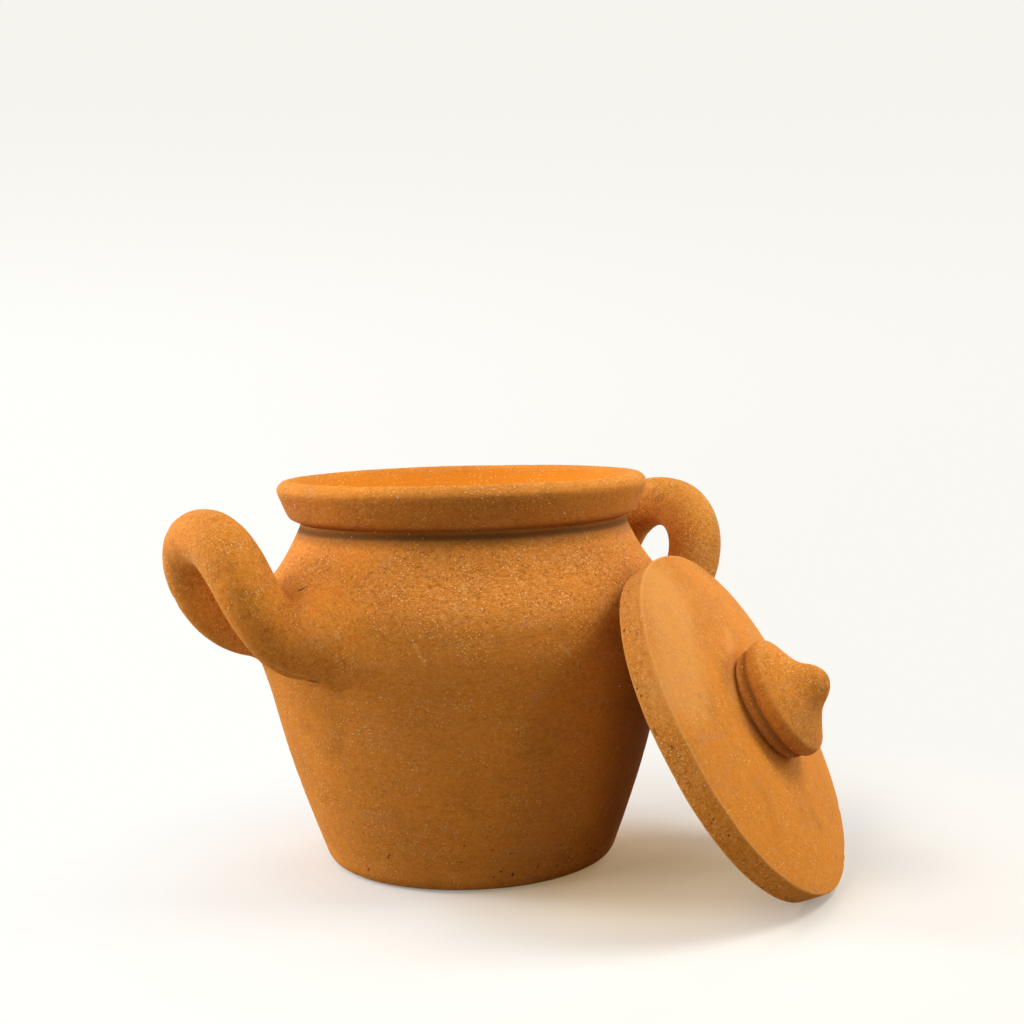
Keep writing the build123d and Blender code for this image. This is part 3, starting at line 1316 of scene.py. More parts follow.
@dataclass
class Pot:
    """The thrown pot: its wall and the collar round its mouth."""

    base_radius: float = 44.5 * MM
    belly_radius: float = 66.2 * MM
    belly_height: float = 74.0 * MM
    shoulder_height: float = 32.5 * MM
    neck_radius: float = 50.6 * MM
    wall: float = 6.0 * MM
    floor_thickness: float = 7.0 * MM
    heel_rounding: float = 3.9 * MM
    inner_heel_rounding: float = 5.6 * MM
    flank_lean: float = 20.0
    neck_lean: float = 24.0
    flank_shares: tuple[tuple[float, float], ...] = ((0.55, 0.62), (0.81, 0.85))
    shoulder_shares: tuple[tuple[float, float], ...] = ((0.28, 0.08), (0.54, 0.46), (0.77, 0.77))
    collar_height: float = 13.3 * MM
    undercut_rise: float = 1.7 * MM
    collar_overhang: float = 3.6 * MM
    collar_bulge: float = 0.2 * MM
    lip_flare: float = 3.4 * MM
    lip_drop: float = 3.4 * MM
    lip_width: float = 6.1 * MM
    lip_inner_drop: float = 1.7 * MM
    lip_crest_share: float = 0.5
    collar_rounding: float = 1.0 * MM
    mouth_lean: float = 35.0
    pitted_height: float = 20.0 * MM
    shaded_height: float = 2.2 * MM
    rough_rise: float = 8.0 * MM
    fine: float = 1.0 * MM
    coarse: float = 2.6 * MM
    collar_row: float = 0.5 * MM
    neck_row: float = 0.4 * MM
    # Rows of darkest painted shade where the collar meets the neck.
    dirty_rows: int = 3
    wall_marks: TurnedSizes = TurnedSizes(
        segments=360,
        wobble_depth=0.7 * MM,
        wobble_scale=16.0,
        ring_depth=0.20 * MM,
        ring_scale=190.0,
        dent_depth=0.35 * MM,
        dent_scale=150.0,
        seed=11,
    )
    collar_marks: TurnedSizes = TurnedSizes(
        segments=360,
        wobble_depth=0.8 * MM,
        wobble_scale=18.0,
        ring_depth=0.12 * MM,
        ring_scale=330.0,
        dent_depth=0.35 * MM,
        dent_scale=170.0,
        seed=23,
    )

    @property
    def neck_height(self) -> float:
        """Height of the neck, where the collar sits."""
        return self.belly_height + self.shoulder_height

    def side_line(self, inset: float, bottom: float, spacing: float) -> np.ndarray:
        """Line up one face of the wall, from the heel to the neck.

        Args:
            inset: How far inside the pot's outside the face lies.
            bottom: Height at which it starts.
            spacing: Distance between the points.

        Returns:
            The line's points.
        """
        heel = (self.base_radius - inset, bottom)
        belly = (self.belly_radius - inset, self.belly_height)
        neck = (self.neck_radius - inset, self.neck_height)
        flank = [
            (heel[0] + swell * (belly[0] - heel[0]), heel[1] + rise * (belly[1] - heel[1]))
            for rise, swell in self.flank_shares
        ]
        shoulder = [
            (belly[0] + draw * (neck[0] - belly[0]), belly[1] + rise * (neck[1] - belly[1]))
            for rise, draw in self.shoulder_shares
        ]
        upright = leaning(0.0)
        lower = smooth_line([heel, *flank, belly], leaning(self.flank_lean), upright, spacing)
        upper = smooth_line([belly, *shoulder, neck], upright, leaning(-self.neck_lean), spacing)
        return np.concatenate([lower, upper[1:]])

    def build_wall(self, wheel: PottersWheel, finish: bpy.types.Material) -> bpy.types.Object:
        """Turns the wall with its base, inside and outside.

        Args:
            wheel: The tool that turns an outline.
            finish: The clay's material.

        Returns:
            The wall.
        """
        inside = self.side_line(self.wall, self.floor_thickness, self.coarse)
        outside = self.side_line(0.0, 0.0, self.fine)[::-1]
        floor = straight((0.0, self.floor_thickness), inside[0], self.coarse)
        ledge = straight(inside[-1], outside[0], self.coarse)
        base = straight(outside[-1], (0.0, 0.0), self.coarse)
        shade = int(np.argmax(outside[:, 1] < self.neck_height - self.shaded_height))
        rough = int(np.argmax(outside[:, 1] < self.belly_height + self.rough_rise))
        foot = int(np.argmax(outside[:, 1] < self.pitted_height))
        stretches = [
            # Painted bounce light: the pot's inside floor and wall more saturated orange.
            Stretch(floor, grit=0.0, vivid=1.0, rounding=self.inner_heel_rounding),
            Stretch(inside, grit=0.0, vivid=1.0),
            Stretch(ledge, give=0.0, grit=0.0),
            # Painted shade: the band of wall just under the collar.
            Stretch(spaced(outside[: shade + 1], self.neck_row), grit=0.3, dirt=1.0),
            Stretch(outside[shade : rough + 1], grit=1.0),
            Stretch(outside[rough : foot + 1], grit=0.35),
            Stretch(outside[foot:], grit=0.2, pits=1.0, rounding=self.heel_rounding),
            Stretch(base, give=0.0, grit=0.0),
        ]
        mesh = outline_mesh("wall_outline", stretches)
        piece = wheel.run("turned_wall", mesh, finish, self.wall_marks)
        mark_edges(piece.data)
        return put_on(piece, Body.POT, "pot_body")

    def build_collar(self, wheel: PottersWheel, finish: bpy.types.Material) -> bpy.types.Object:
        """Turns the flared collar with its undercut and rounded lip.

        Args:
            wheel: The tool that turns an outline.
            finish: The clay's material.

        Returns:
            The collar.
        """
        top = self.neck_height + self.collar_height
        throat = (self.neck_radius - self.wall, self.neck_height)
        neck = (self.neck_radius, self.neck_height)
        foot = (self.neck_radius + self.collar_overhang, self.neck_height + self.undercut_rise)
        lip = (foot[0] + self.lip_flare, top - self.lip_drop)
        corner = ((lip[0] + foot[0]) / 2 + 2 * self.collar_bulge, (lip[1] + foot[1]) / 2)
        crest = (lip[0] - self.lip_width * self.lip_crest_share, top)
        inner_lip = (lip[0] - self.lip_width, top - self.lip_inner_drop)
        flare = (lip[0] - corner[0], lip[1] - corner[1])
        outside = bent_line(np.array(lip), np.array(corner), np.array(foot), CURVE_STEPS)
        into_mouth = leaning(180.0 + self.mouth_lean)
        down_throat = leaning(180.0 - self.neck_lean)
        mouth = smooth_line([inner_lip, throat], into_mouth, down_throat, self.collar_row)[::-1]
        rim = smooth_line([lip, crest, inner_lip], flare, into_mouth, self.collar_row)[::-1]
        under = straight(foot, neck, self.collar_row)
        last_light = len(under) - self.dirty_rows
        stretches = [
            # Painted bounce light: the mouth more saturated orange.
            Stretch(mouth, give=0.6, grit=0.1, vivid=1.0),
            Stretch(rim, grit=0.45),
            # Painted shade: a little on the down-facing outer face, more on the underside, darkest at the
            # neck.
            Stretch(spaced(outside, self.collar_row), grit=0.4, dirt=0.3, rounding=self.collar_rounding),
            Stretch(under[: last_light + 1], give=0.0, grit=0.4, dirt=0.6),
            Stretch(under[last_light:], give=0.0, grit=0.2, dirt=1.0),
            Stretch(straight(neck, throat, self.coarse), give=0.0, grit=0.0),
        ]
        mesh = outline_mesh("collar_outline", stretches)
        piece = wheel.run("turned_collar", mesh, finish, self.collar_marks)
        mark_edges(piece.data)
        return put_on(piece, Body.POT, "rim_collar")


class WallMap:
    """Places by the outside of the wall: round the belly, up the wall and out of it."""

    row = 0.5 * MM
    outside = 3.0 * MM
    search = 9.0 * MM

    def __init__(self, pot: Pot, piece: bpy.types.Object) -> None:
        """Takes the smooth outline from the pot's sizes and the worked surface from its mesh.

        Args:
            pot: The pot's sizes.
            piece: The finished wall.
        """
        self.radius = pot.belly_radius
        self.line = pot.side_line(0.0, 0.0, self.row)
        run = lengths_along(self.line)
        self.tangents = np.gradient(self.line, run, axis=0)
        self.tangents /= np.linalg.norm(self.tangents, axis=1)[:, None]
        self.normals = np.stack([self.tangents[:, 1], -self.tangents[:, 0]], axis=1)
        self.run = run - np.interp(pot.belly_height, self.line[:, 1], run)
        faces = [tuple(face.vertices) for face in piece.data.polygons]
        self.surface = BVHTree.FromPolygons(points_of(piece.data).tolist(), faces)

    def spots(self, places: np.ndarray) -> np.ndarray:
        """Finds where places near the wall lie on it.

        Args:
            places: Points, in any arrangement.

        Returns:
            For each its distance round the belly, up the wall and out of it.
        """
        flat = np.stack([np.hypot(places[..., 0], places[..., 1]), places[..., 2]], axis=-1)
        nearest = np.linalg.norm(flat[..., None, :] - self.line, axis=-1).argmin(axis=-1)
        offset = flat - self.line[nearest]
        up = self.run[nearest] + (offset * self.tangents[nearest]).sum(axis=-1)
        out = (offset * self.normals[nearest]).sum(axis=-1)
        along = np.arctan2(places[..., 1], places[..., 0]) * self.radius
        return np.stack([along, up, out], axis=-1)

    def point(self, spot: Sequence[float], follow: float, side: Side) -> Vector:
        """Finds the place of a spot by the wall.

        Args:
            spot: Distance round the belly, up the wall and out of it.
            follow: How far the place follows the worked surface, 0 to 1.
            side: The side of the pot whose surface it follows.

        Returns:
            The place, on the right side of the pot.
        """
        along, up, out = spot
        radius, height = (np.interp(up, self.run, column) for column in self.line.T)
        out_r, out_z = (np.interp(up, self.run, column) for column in self.normals.T)
        angle = along / self.radius
        facing = Vector((math.cos(angle), math.sin(angle), 0.0))
        normal = (facing * out_r + Vector((0.0, 0.0, out_z))).normalized()
        place = facing * radius + Vector((0.0, 0.0, height))
        mirror = Vector((side.value, 1.0, 1.0))
        start = (place + normal * self.outside) * mirror
        _, _, _, reach = self.surface.ray_cast(start, -normal * mirror, self.search)
        pressed = reach - self.outside if reach is not None else 0.0
        return place + normal * (out - follow * pressed)


def row_at(rows: np.ndarray, place: float) -> np.ndarray:
    """A row between two whole rows."""
    low = min(int(place), len(rows) - 2)
    return rows[low] + (rows[low + 1] - rows[low]) * (place - low)


def crossing(heights: np.ndarray, level: float) -> float:
    """Place along a row of rising heights where it passes a level for the last time."""
    low = min(int(np.nonzero(heights < level)[0][-1]), len(heights) - 2)
    return low + (level - heights[low]) / (heights[low + 1] - heights[low])


@dataclass(frozen=True)
class Root:
    """How a rod's end is worked on to the belly.

    Fields: the fillet away from the handle's middle, towards it, above and below; how far over the
    belly the end sits; the height of the clay's edge where it was left standing below; the turn of that
    edge's middle from straight below and its half width, both as angles; and the share of the fillet over
    which it fades.
    """

    outer: float = 8.0 * MM
    inner: float = 6.0 * MM
    upper: float = 9.0 * MM
    lower: float = 4.0 * MM
    lift: float = 0.0
    ridge: float = 0.0
    ridge_turn: float = 0.10
    ridge_width: float = 0.75
    ridge_fade: float = 0.4

    def fillet(self, outwards: float, upwards: float) -> float:
        """Works out the fillet in a direction round the rod.

        Args:
            outwards: How far the direction points away from the handle's middle, -1 to 1.
            upwards: How far it points up, -1 to 1.

        Returns:
            The fillet's size.
        """
        level = self.outer if outwards > 0.0 else self.inner
        upright = self.upper if upwards > 0.0 else self.lower
        return outwards**2 * level + upwards**2 * upright

    def edge(self, outwards: float, upwards: float) -> float:
        """Height of the standing edge in a direction round the rod."""
        facing = math.atan2(outwards, -upwards)
        return self.ridge * math.exp(-(((facing - self.ridge_turn) / self.ridge_width) ** 4))


@dataclass
class Handle:
    """A rod of clay, bent into an arch, with both ends worked on to the belly."""

    side: Side
    front: Root
    back: Root
    seed: int
    rod_radius: float = 8.6 * MM
    reach: float = 18.7 * MM
    rise: float = 31.9 * MM
    spread: float = 37.0 * MM
    crown_pull: float = 24.6 * MM
    root_pull: float = 17.8 * MM
    root_lift: float = 5.8
    skew: float = 2.4
    stub: float = 5.0 * MM
    stations: tuple[float, ...] = (0.0, 0.16, 0.36, 0.58, 0.8, 1.0)
    thickness_shares: tuple[float, ...] = (1.04, 0.96, 0.98, 1.02, 1.02, 0.97)
    tucks: tuple[tuple[float, float, float], ...] = (
        (1.2 * MM, -1.8 * MM, 0.0),
        (0.8 * MM, -0.6 * MM, 0.2),
        (0.4 * MM, -0.05 * MM, 0.7),
    )
    around: int = 96
    row: float = 0.7 * MM
    root_rows: int = 14
    slide_rows: int = 14
    spare_rows: int = 4
    even_rows: int = 7
    leg_steps: int = 120
    root_share: float = 0.45
    grit: float = 0.55
    pits: float = 0.1
    hollow_depth: float = 1.0 * MM
    hollow_scale: float = 42.0
    dent_depth: float = 0.40 * MM
    dent_scale: float = 170.0

    def end(self, end: End, pot: Pot, wall: WallMap) -> tuple[np.ndarray, np.ndarray, float]:
        """Where a leg meets the wall.

        Args:
            end: Which end of the rod.
            pot: The pot's sizes.
            wall: The wall that it meets.

        Returns:
            The place, the direction in which the leg leaves, and the angle round the pot.
        """
        root = self.front if end is End.FRONT else self.back
        angle = math.radians(self.skew) + end.value * math.asin(self.spread / 2 / wall.radius)
        lift = math.radians(self.root_lift)
        level = np.array([math.cos(angle), math.sin(angle), 0.0])
        upright = np.array([0.0, 0.0, 1.0])
        height = pot.belly_height + root.lift
        place = level * np.interp(height, wall.line[:, 1], wall.line[:, 0]) + upright * height
        return place, level * math.cos(lift) + upright * math.sin(lift), angle

    def rod(self, pot: Pot, wall: WallMap) -> tuple[np.ndarray, np.ndarray]:
        """Middle line of the rod from inside the wall over the crown and back, and its radii.

        Args:
            pot: The pot's sizes.
            wall: The wall that the rod meets.

        Returns:
            Evenly spaced points, and the radius at each.
        """
        skew = math.radians(self.skew)
        crown = np.array([math.cos(skew), math.sin(skew), 0.0]) * (wall.radius + self.reach)
        crown[2] = pot.belly_height + self.rise
        sideways = np.array([-math.sin(skew), math.cos(skew), 0.0])
        legs = []
        for end in End:
            root, leaving, _ = self.end(end, pot, wall)
            pulled = crown + end.value * sideways * self.crown_pull
            leg = leg_line([root, root + leaving * self.root_pull, pulled, crown], self.leg_steps)
            legs.append(np.concatenate([[root - leaving * self.stub], leg]))
        line = np.concatenate([legs[0], legs[1][-2::-1]])
        half = np.concatenate([[0.0], np.linspace(0.0, 1.0, self.leg_steps)])
        share = np.concatenate([half, half[-2::-1]])
        radii = self.rod_radius * np.interp(share, self.stations, self.thickness_shares)
        run = lengths_along(line)
        even = spaced(line, self.row)
        radii = np.interp(np.linspace(0.0, run[-1], len(even)), run, radii)
        return even, evened(radii, self.even_rows)

    @staticmethod
    def cross_directions(
        line: np.ndarray, first: np.ndarray, last: np.ndarray
    ) -> tuple[np.ndarray, np.ndarray]:
        """Directions across a line, carried along it and turned evenly to end as asked.

        Args:
            line: Points along the line.
            first: Direction across its start.
            last: Direction across its end.

        Returns:
            Two directions across the line at each of its points.
        """
        tangents = np.gradient(line, axis=0)
        tangents /= np.linalg.norm(tangents, axis=1)[:, None]
        carried = [first]
        for tangent in tangents:
            flat = carried[-1] - tangent * (carried[-1] @ tangent)
            carried.append(flat / np.linalg.norm(flat))
        level = np.array(carried[1:])
        upright = np.cross(tangents, level)
        twist = math.atan2(last @ upright[-1], last @ level[-1])
        turn = np.linspace(0.0, twist, len(line))[:, None]
        turned = level * np.cos(turn) + upright * np.sin(turn)
        return turned, np.cross(tangents, turned)

    def root_rings(
        self, root: Root, end: End, rings: np.ndarray, wall: WallMap
    ) -> tuple[np.ndarray, int]:
        """Spreads the rod's end on to the wall.

        Args:
            root: The fillets of this end.
            end: Which end of the rod.
            rings: The rod's rings from inside the wall outwards, by ring and step.
            wall: The wall.

        Returns:
            New rings from inside the wall to the rod, and the number of the rod's last ring that they
            stand for.
        """
        spots = wall.spots(rings)
        middle = spots.mean(axis=1)
        centre = row_at(middle, crossing(middle[:, 2], 0.0))[:2]
        corners = [row_at(spots[:, i], crossing(spots[:, i, 2], 0.0))[:2] for i in range(self.around)]
        away = np.array(corners) - centre
        away /= np.linalg.norm(away, axis=1)[:, None]
        fillets = [root.fillet(end.value * along, up) for along, up in away]
        tops = [crossing(spots[:, i, 2], fillet) for i, fillet in enumerate(fillets)]
        free = int(max(tops)) + self.spare_rows
        columns = []
        for i in range(self.around):
            ridge = root.edge(end.value * away[i, 0], away[i, 1])
            foot = np.append(corners[i] + away[i] * fillets[i], 0.0)
            outwards = np.append(away[i], 0.0)
            column = []
            for spread, sink, share in self.tucks:
                spot = foot + outwards * spread + np.array([0.0, 0.0, sink + ridge * share])
                column.append(wall.point(spot, 1.0, self.side))
            top = row_at(spots[:, i], tops[i])
            bend = bent_line(foot, np.append(corners[i], 0.0), top, self.root_rows)
            for share, spot in zip(np.linspace(0.0, 1.0, self.root_rows), bend):
                standing = ridge * math.exp(-((share / root.ridge_fade) ** 2))
                raised = spot + np.array([0.0, 0.0, standing])
                column.append(wall.point(raised, 1.0 - share**2, self.side))
            for share in np.linspace(0.0, 1.0, self.slide_rows + 1)[1:]:
                column.append(row_at(rings[:, i], tops[i] + share * (free - tops[i])))
            columns.append(np.array(column))
        return np.array(columns).transpose(1, 0, 2), free

    def build(
        self, pot: Pot, wall: WallMap, hand: RollingHand, finish: bpy.types.Material
    ) -> bpy.types.Object:
        """Sweeps the rod, spreads its ends on to the wall and presses the hand's marks into it.

        Args:
            pot: The pot's sizes.
            wall: The wall that carries the handle.
            hand: The tool that presses hollows.
            finish: The clay's material.

        Returns:
            The handle.
        """
        line, radii = self.rod(pot, wall)
        _, _, front_angle = self.end(End.FRONT, pot, wall)
        _, _, back_angle = self.end(End.BACK, pot, wall)
        first = np.array([-math.sin(front_angle), math.cos(front_angle), 0.0])
        last = np.array([math.sin(back_angle), -math.cos(back_angle), 0.0])
        level, upright = self.cross_directions(line, first, last)
        turns = np.linspace(0.0, math.tau, self.around, endpoint=False)[None, :, None]
        across = np.cos(turns) * level[:, None, :] + np.sin(turns) * upright[:, None, :]
        rings = line[:, None, :] + radii[:, None, None] * across
        half = int(self.root_share * len(rings))
        near, near_free = self.root_rings(self.front, End.FRONT, rings[:half], wall)
        far, far_free = self.root_rings(self.back, End.BACK, rings[::-1][:half], wall)
        between = rings[near_free + 1 : len(rings) - 1 - far_free]
        mesh = self.tube_mesh(np.concatenate([near, between, far[::-1]]))
        sizes = RolledSizes(self.hollow_depth, self.hollow_scale, self.dent_depth, self.dent_scale, self.seed)
        name = self.side.name.lower()
        piece = hand.run(f"{name}_rod", mesh, finish, sizes)
        mark_edges(piece.data)
        return put_on(piece, Body.POT, f"{name}_handle")

    def tube_mesh(self, rings: np.ndarray) -> bpy.types.Mesh:
        """Skins the rings, closes both ends and turns the tube to its side of the pot.

        Args:
            rings: Places by ring and step.

        Returns:
            The closed tube with its run, give, grit, pits and painted shade.
        """
        count, around, _ = rings.shape
        caps = [rings[0].mean(axis=0), rings[-1].mean(axis=0)]
        places = np.concatenate([rings.reshape(-1, 3), caps])
        places[:, 0] *= self.side.value
        first, last = len(places) - 2, len(places) - 1
        top = (count - 1) * around
        faces = []
        for step in range(around):
            following = (step + 1) % around
            for start in range(0, top, around):
                over = start + around
                faces.append((start + step, start + following, over + following, over + step))
            faces.append((first, following, step))
            faces.append((last, top + step, top + following))
        mesh = bpy.data.meshes.new(f"{self.side.name.lower()}_tube")
        mesh.from_pydata(places.tolist(), [], faces)
        rows = np.arange(count)
        from_end = np.minimum(rows, count - 1 - rows)
        buried = len(self.tucks)
        values = {
            "run": lengths_along(rings.mean(axis=1)),
            "give": np.clip((from_end - buried - self.root_rows) / self.slide_rows, 0.0, 1.0),
            "grit": np.where(from_end > buried, self.grit, 0.0),
            "pits": np.full(count, self.pits),
            "dirt": np.zeros(count),
        }
        for key, value in values.items():
            set_point_values(mesh, key, np.concatenate([np.repeat(value, around), value[[0, -1]]]))
        face_outwards(mesh)
        return mesh


@dataclass
class Lid:
    """The loose lid: a round plate with a knob, leaning as the frame holds it."""

    radius: float = 53.25 * MM
    taper: float = 0.8 * MM
    thickness: float = 8.2 * MM
    dome: float = 5.4 * MM
    top_rounding: float = 0.6 * MM
    bottom_rounding: float = 0.9 * MM
    dome_flat_share: float = 0.45
    knob_radius: float = 17.7 * MM
    knob_height: float = 21.4 * MM
    foot_shares: tuple[float, float] = (0.81, 0.0)
    foot_roll_shares: tuple[float, float] = (0.935, 0.1)
    groove_shares: tuple[float, float] = (0.925, 0.2)
    flange_shares: tuple[float, float] = (1.0, 0.3)
    flange_top_shares: tuple[float, float] = (0.97, 0.435)
    cone_shares: tuple[float, float] = (0.65, 0.583)
    tip_neck_shares: tuple[float, float] = (0.4, 0.74)
    tip_shares: tuple[float, float] = (0.26, 0.892)
    cone_leans: tuple[float, float] = (90.0, 118.0)
    flange_leans: tuple[float, float] = (165.0, 240.0)
    roll_leans: tuple[float, float] = (140.0, 235.0)
    flange_rounding: float = 0.8 * MM
    presses: tuple[tuple[float, float, float], ...] = (
        (88.0, -1.75 * MM, 24.0),
        (30.0, 0.9 * MM, 15.0),
        (178.0, -0.45 * MM, 8.0),
        (214.0, 0.4 * MM, 14.0),
    )
    fine: float = 0.5 * MM
    middling: float = 1.0 * MM
    coarse: float = 2.6 * MM
    dome_steps: int = 80
    # Rows of darkest painted shade in the knob's groove and at its foot.
    dirty_rows: int = 3
    plate_marks: TurnedSizes = TurnedSizes(
        segments=320,
        wobble_depth=0.6 * MM,
        wobble_scale=22.0,
        ring_depth=0.05 * MM,
        ring_scale=260.0,
        dent_depth=0.22 * MM,
        dent_scale=190.0,
        seed=37,
    )
    knob_marks: TurnedSizes = TurnedSizes(
        segments=180,
        wobble_depth=0.7 * MM,
        wobble_scale=45.0,
        ring_depth=0.06 * MM,
        ring_scale=420.0,
        dent_depth=0.35 * MM,
        dent_scale=220.0,
        seed=41,
    )

    def lean(self) -> Matrix:
        """Works out where the lid leans, from the joint's axis and the plate's round outline.

        Returns:
            The turn and place of the lid, whose flat face lies at height 0 before.
        """
        axis = Vector(frame["joints"][0]["axis"]).normalized()
        level = Vector((-axis.y, axis.x, 0.0)).normalized()
        third = axis.cross(level)
        turn = Matrix((level, third, axis))
        corners = points_of(frame["nodes"]["lid_plate"].data) @ np.array(turn).T
        low, high = corners.min(axis=0), corners.max(axis=0)
        middle = (low + high) / 2
        centre = turn.transposed() @ Vector((middle[0], middle[1], low[2]))
        return Matrix.Translation(centre) @ turn.transposed().to_4x4()

    def on_knob(self, shares: tuple[float, float]) -> tuple[float, float]:
        """Point of the knob's outline from shares of its radius and height."""
        return self.knob_radius * shares[0], self.thickness + self.dome + self.knob_height * shares[1]

    def knob_line(self, points: Sequence[Sequence[float]], leans: tuple[float, float]) -> np.ndarray:
        """A smooth stretch of the knob's outline, with its lean from upright at both ends."""
        return smooth_line(points, leaning(leans[0]), leaning(leans[1]), self.fine)

    def build_plate(self, wheel: PottersWheel, finish: bpy.types.Material) -> bpy.types.Object:
        """Turns the plate: flat below, slightly domed on top.

        Args:
            wheel: The tool that turns an outline.
            finish: The clay's material.

        Returns:
            The plate.
        """
        foot = self.on_knob(self.foot_shares)
        edge = (self.radius + self.taper, self.thickness)
        flat_end = (foot[0] + self.dome_flat_share * (edge[0] - foot[0]), foot[1])
        dome = bent_line(np.array(foot), np.array(flat_end), np.array(edge), self.dome_steps)
        side = straight(edge, (self.radius, 0.0), self.fine)
        stretches = [
            Stretch(straight((0.0, foot[1]), foot, self.coarse), give=0.0, grit=0.0),
            Stretch(spaced(dome, self.middling), grit=0.15, rounding=self.top_rounding),
            Stretch(side, grit=0.9, pits=0.8, rounding=self.bottom_rounding),
            Stretch(straight((self.radius, 0.0), (0.0, 0.0), self.coarse), give=0.4, grit=0.2),
        ]
        mesh = outline_mesh("disc_outline", stretches)
        piece = wheel.run("lid_disc", mesh, finish, self.plate_marks)
        self.press_edge(piece.data)
        return self.leaned(piece, "lid_plate")

    def press_edge(self, mesh: bpy.types.Mesh) -> None:
        """Presses the plate a little out of round, by each press's angle, size and width in degrees.

        Args:
            mesh: The plate's mesh before it leans, which is changed.
        """
        places = points_of(mesh)
        turn = np.degrees(np.arctan2(places[:, 1], places[:, 0]))
        change = np.zeros(len(places))
        for angle, size, width in self.presses:
            away = (turn - angle + 180.0) % 360.0 - 180.0
            change += size * np.exp(-((away / width) ** 2))
        places[:, :2] *= (1.0 + change / self.radius)[:, None]
        mesh.vertices.foreach_set("co", places.astype(np.float32).ravel())
        mesh.update()

    def build_knob(self, wheel: PottersWheel, finish: bpy.types.Material) -> bpy.types.Object:
        """Turns the knob: two rolls, a hollow cone and a rounded tip.

        Args:
            wheel: The tool that turns an outline.
            finish: The clay's material.

        Returns:
            The knob.
        """
        foot = self.on_knob(self.foot_shares)
        foot_roll = self.on_knob(self.foot_roll_shares)
        groove = self.on_knob(self.groove_shares)
        flange = self.on_knob(self.flange_shares)
        flange_top = self.on_knob(self.flange_top_shares)
        cone = self.on_knob(self.cone_shares)
        tip_neck = self.on_knob(self.tip_neck_shares)
        tip = self.on_knob(self.tip_shares)
        top = (0.0, foot[1] + self.knob_height)
        cone_line = self.knob_line([top, tip, tip_neck, cone, flange_top], self.cone_leans)
        flange_line = self.knob_line([flange_top, flange, groove], self.flange_leans)
        roll_line = self.knob_line([groove, foot_roll, foot], self.roll_leans)
        shaded = self.dirty_rows
        last_flange, last_roll = len(flange_line) - shaded, len(roll_line) - shaded
        # Painted shade: the knob's flange and rolls darkened, most in the groove and at the foot.
        stretches = [
            Stretch(cone_line, grit=0.5, dirt=0.10, rounding=self.flange_rounding),
            Stretch(flange_line[: last_flange + 1], grit=0.45, dirt=0.25),
            Stretch(flange_line[last_flange:], grit=0.3, dirt=0.9),
            Stretch(roll_line[:shaded], give=0.6, grit=0.3, dirt=0.9),
            Stretch(roll_line[shaded - 1 : last_roll + 1], give=0.6, grit=0.45, dirt=0.35),
            Stretch(roll_line[last_roll:], give=0.6, grit=0.3, dirt=1.0),
            Stretch(straight(foot, (0.0, foot[1]), self.coarse), give=0.0, grit=0.0),
        ]
        mesh = outline_mesh("knob_outline", stretches)
        piece = wheel.run("turned_knob", mesh, finish, self.knob_marks)
        return self.leaned(piece, "lid_knob")

    def leaned(self, piece: bpy.types.Object, node: str) -> bpy.types.Object:
        """Moves a turned piece of the lid to where the lid leans, in its mesh.

        Args:
            piece: The piece, turned round the upright axis.
            node: The CAD node that it replaces.

        Returns:
            The same piece.
        """
        piece.data.transform(self.lean())
        mark_edges(piece.data)
        return put_on(piece, Body.LID, node)


@dataclass
class Sand:
    """The sand that stands out of the clay, sifted over the pieces of one body at a time."""

    grains_per_area: float = 110000.0
    grain_radius: float = 0.24 * MM
    grain_sink: float = 0.45
    patch_scale: float = 70.0

    def sift(
        self,
        body: Body,
        pieces: Sequence[bpy.types.Object],
        sieve: GritSieve,
        finish: bpy.types.Material,
        seed: int,
    ) -> bpy.types.Object:
        """Scatters sand over the pieces of one body.

        Args:
            body: The body that the grains ride on.
            pieces: The clay that they stand in.
            sieve: The tool that scatters grains.
            finish: The grains' material.
            seed: What the scatter is drawn from.

        Returns:
            The grains as one piece.
        """
        sizes = GrainSizes(self.grains_per_area, self.grain_radius, self.grain_sink, self.patch_scale, seed)
        name = f"{body.value}_grit"
        piece = sieve.run(name, gathered(f"{name}_bed", pieces), finish, sizes)
        return put_on(piece, body)


# Studio


@dataclass(frozen=True)
class SoftPanel:
    """A soft square lamp: where it hangs, its width and power, and the place on the pot that it faces."""

    name: str
    place: Place
    width: float
    power: float
    aim: Place = (0.0, 0.0, 0.05)

    def hang(self) -> None:
        """Adds the lamp to the scene."""
        lamp = bpy.data.lights.new(self.name, "AREA")
        lamp.shape = "SQUARE"
        lamp.size = self.width
        lamp.energy = self.power
        panel = bpy.data.objects.new(self.name, lamp)
        panel.location = self.place
        direction = Vector(self.aim) - Vector(self.place)
        panel.rotation_euler = direction.to_track_quat("-Z", "Y").to_euler()
        bpy.context.scene.collection.objects.link(panel)


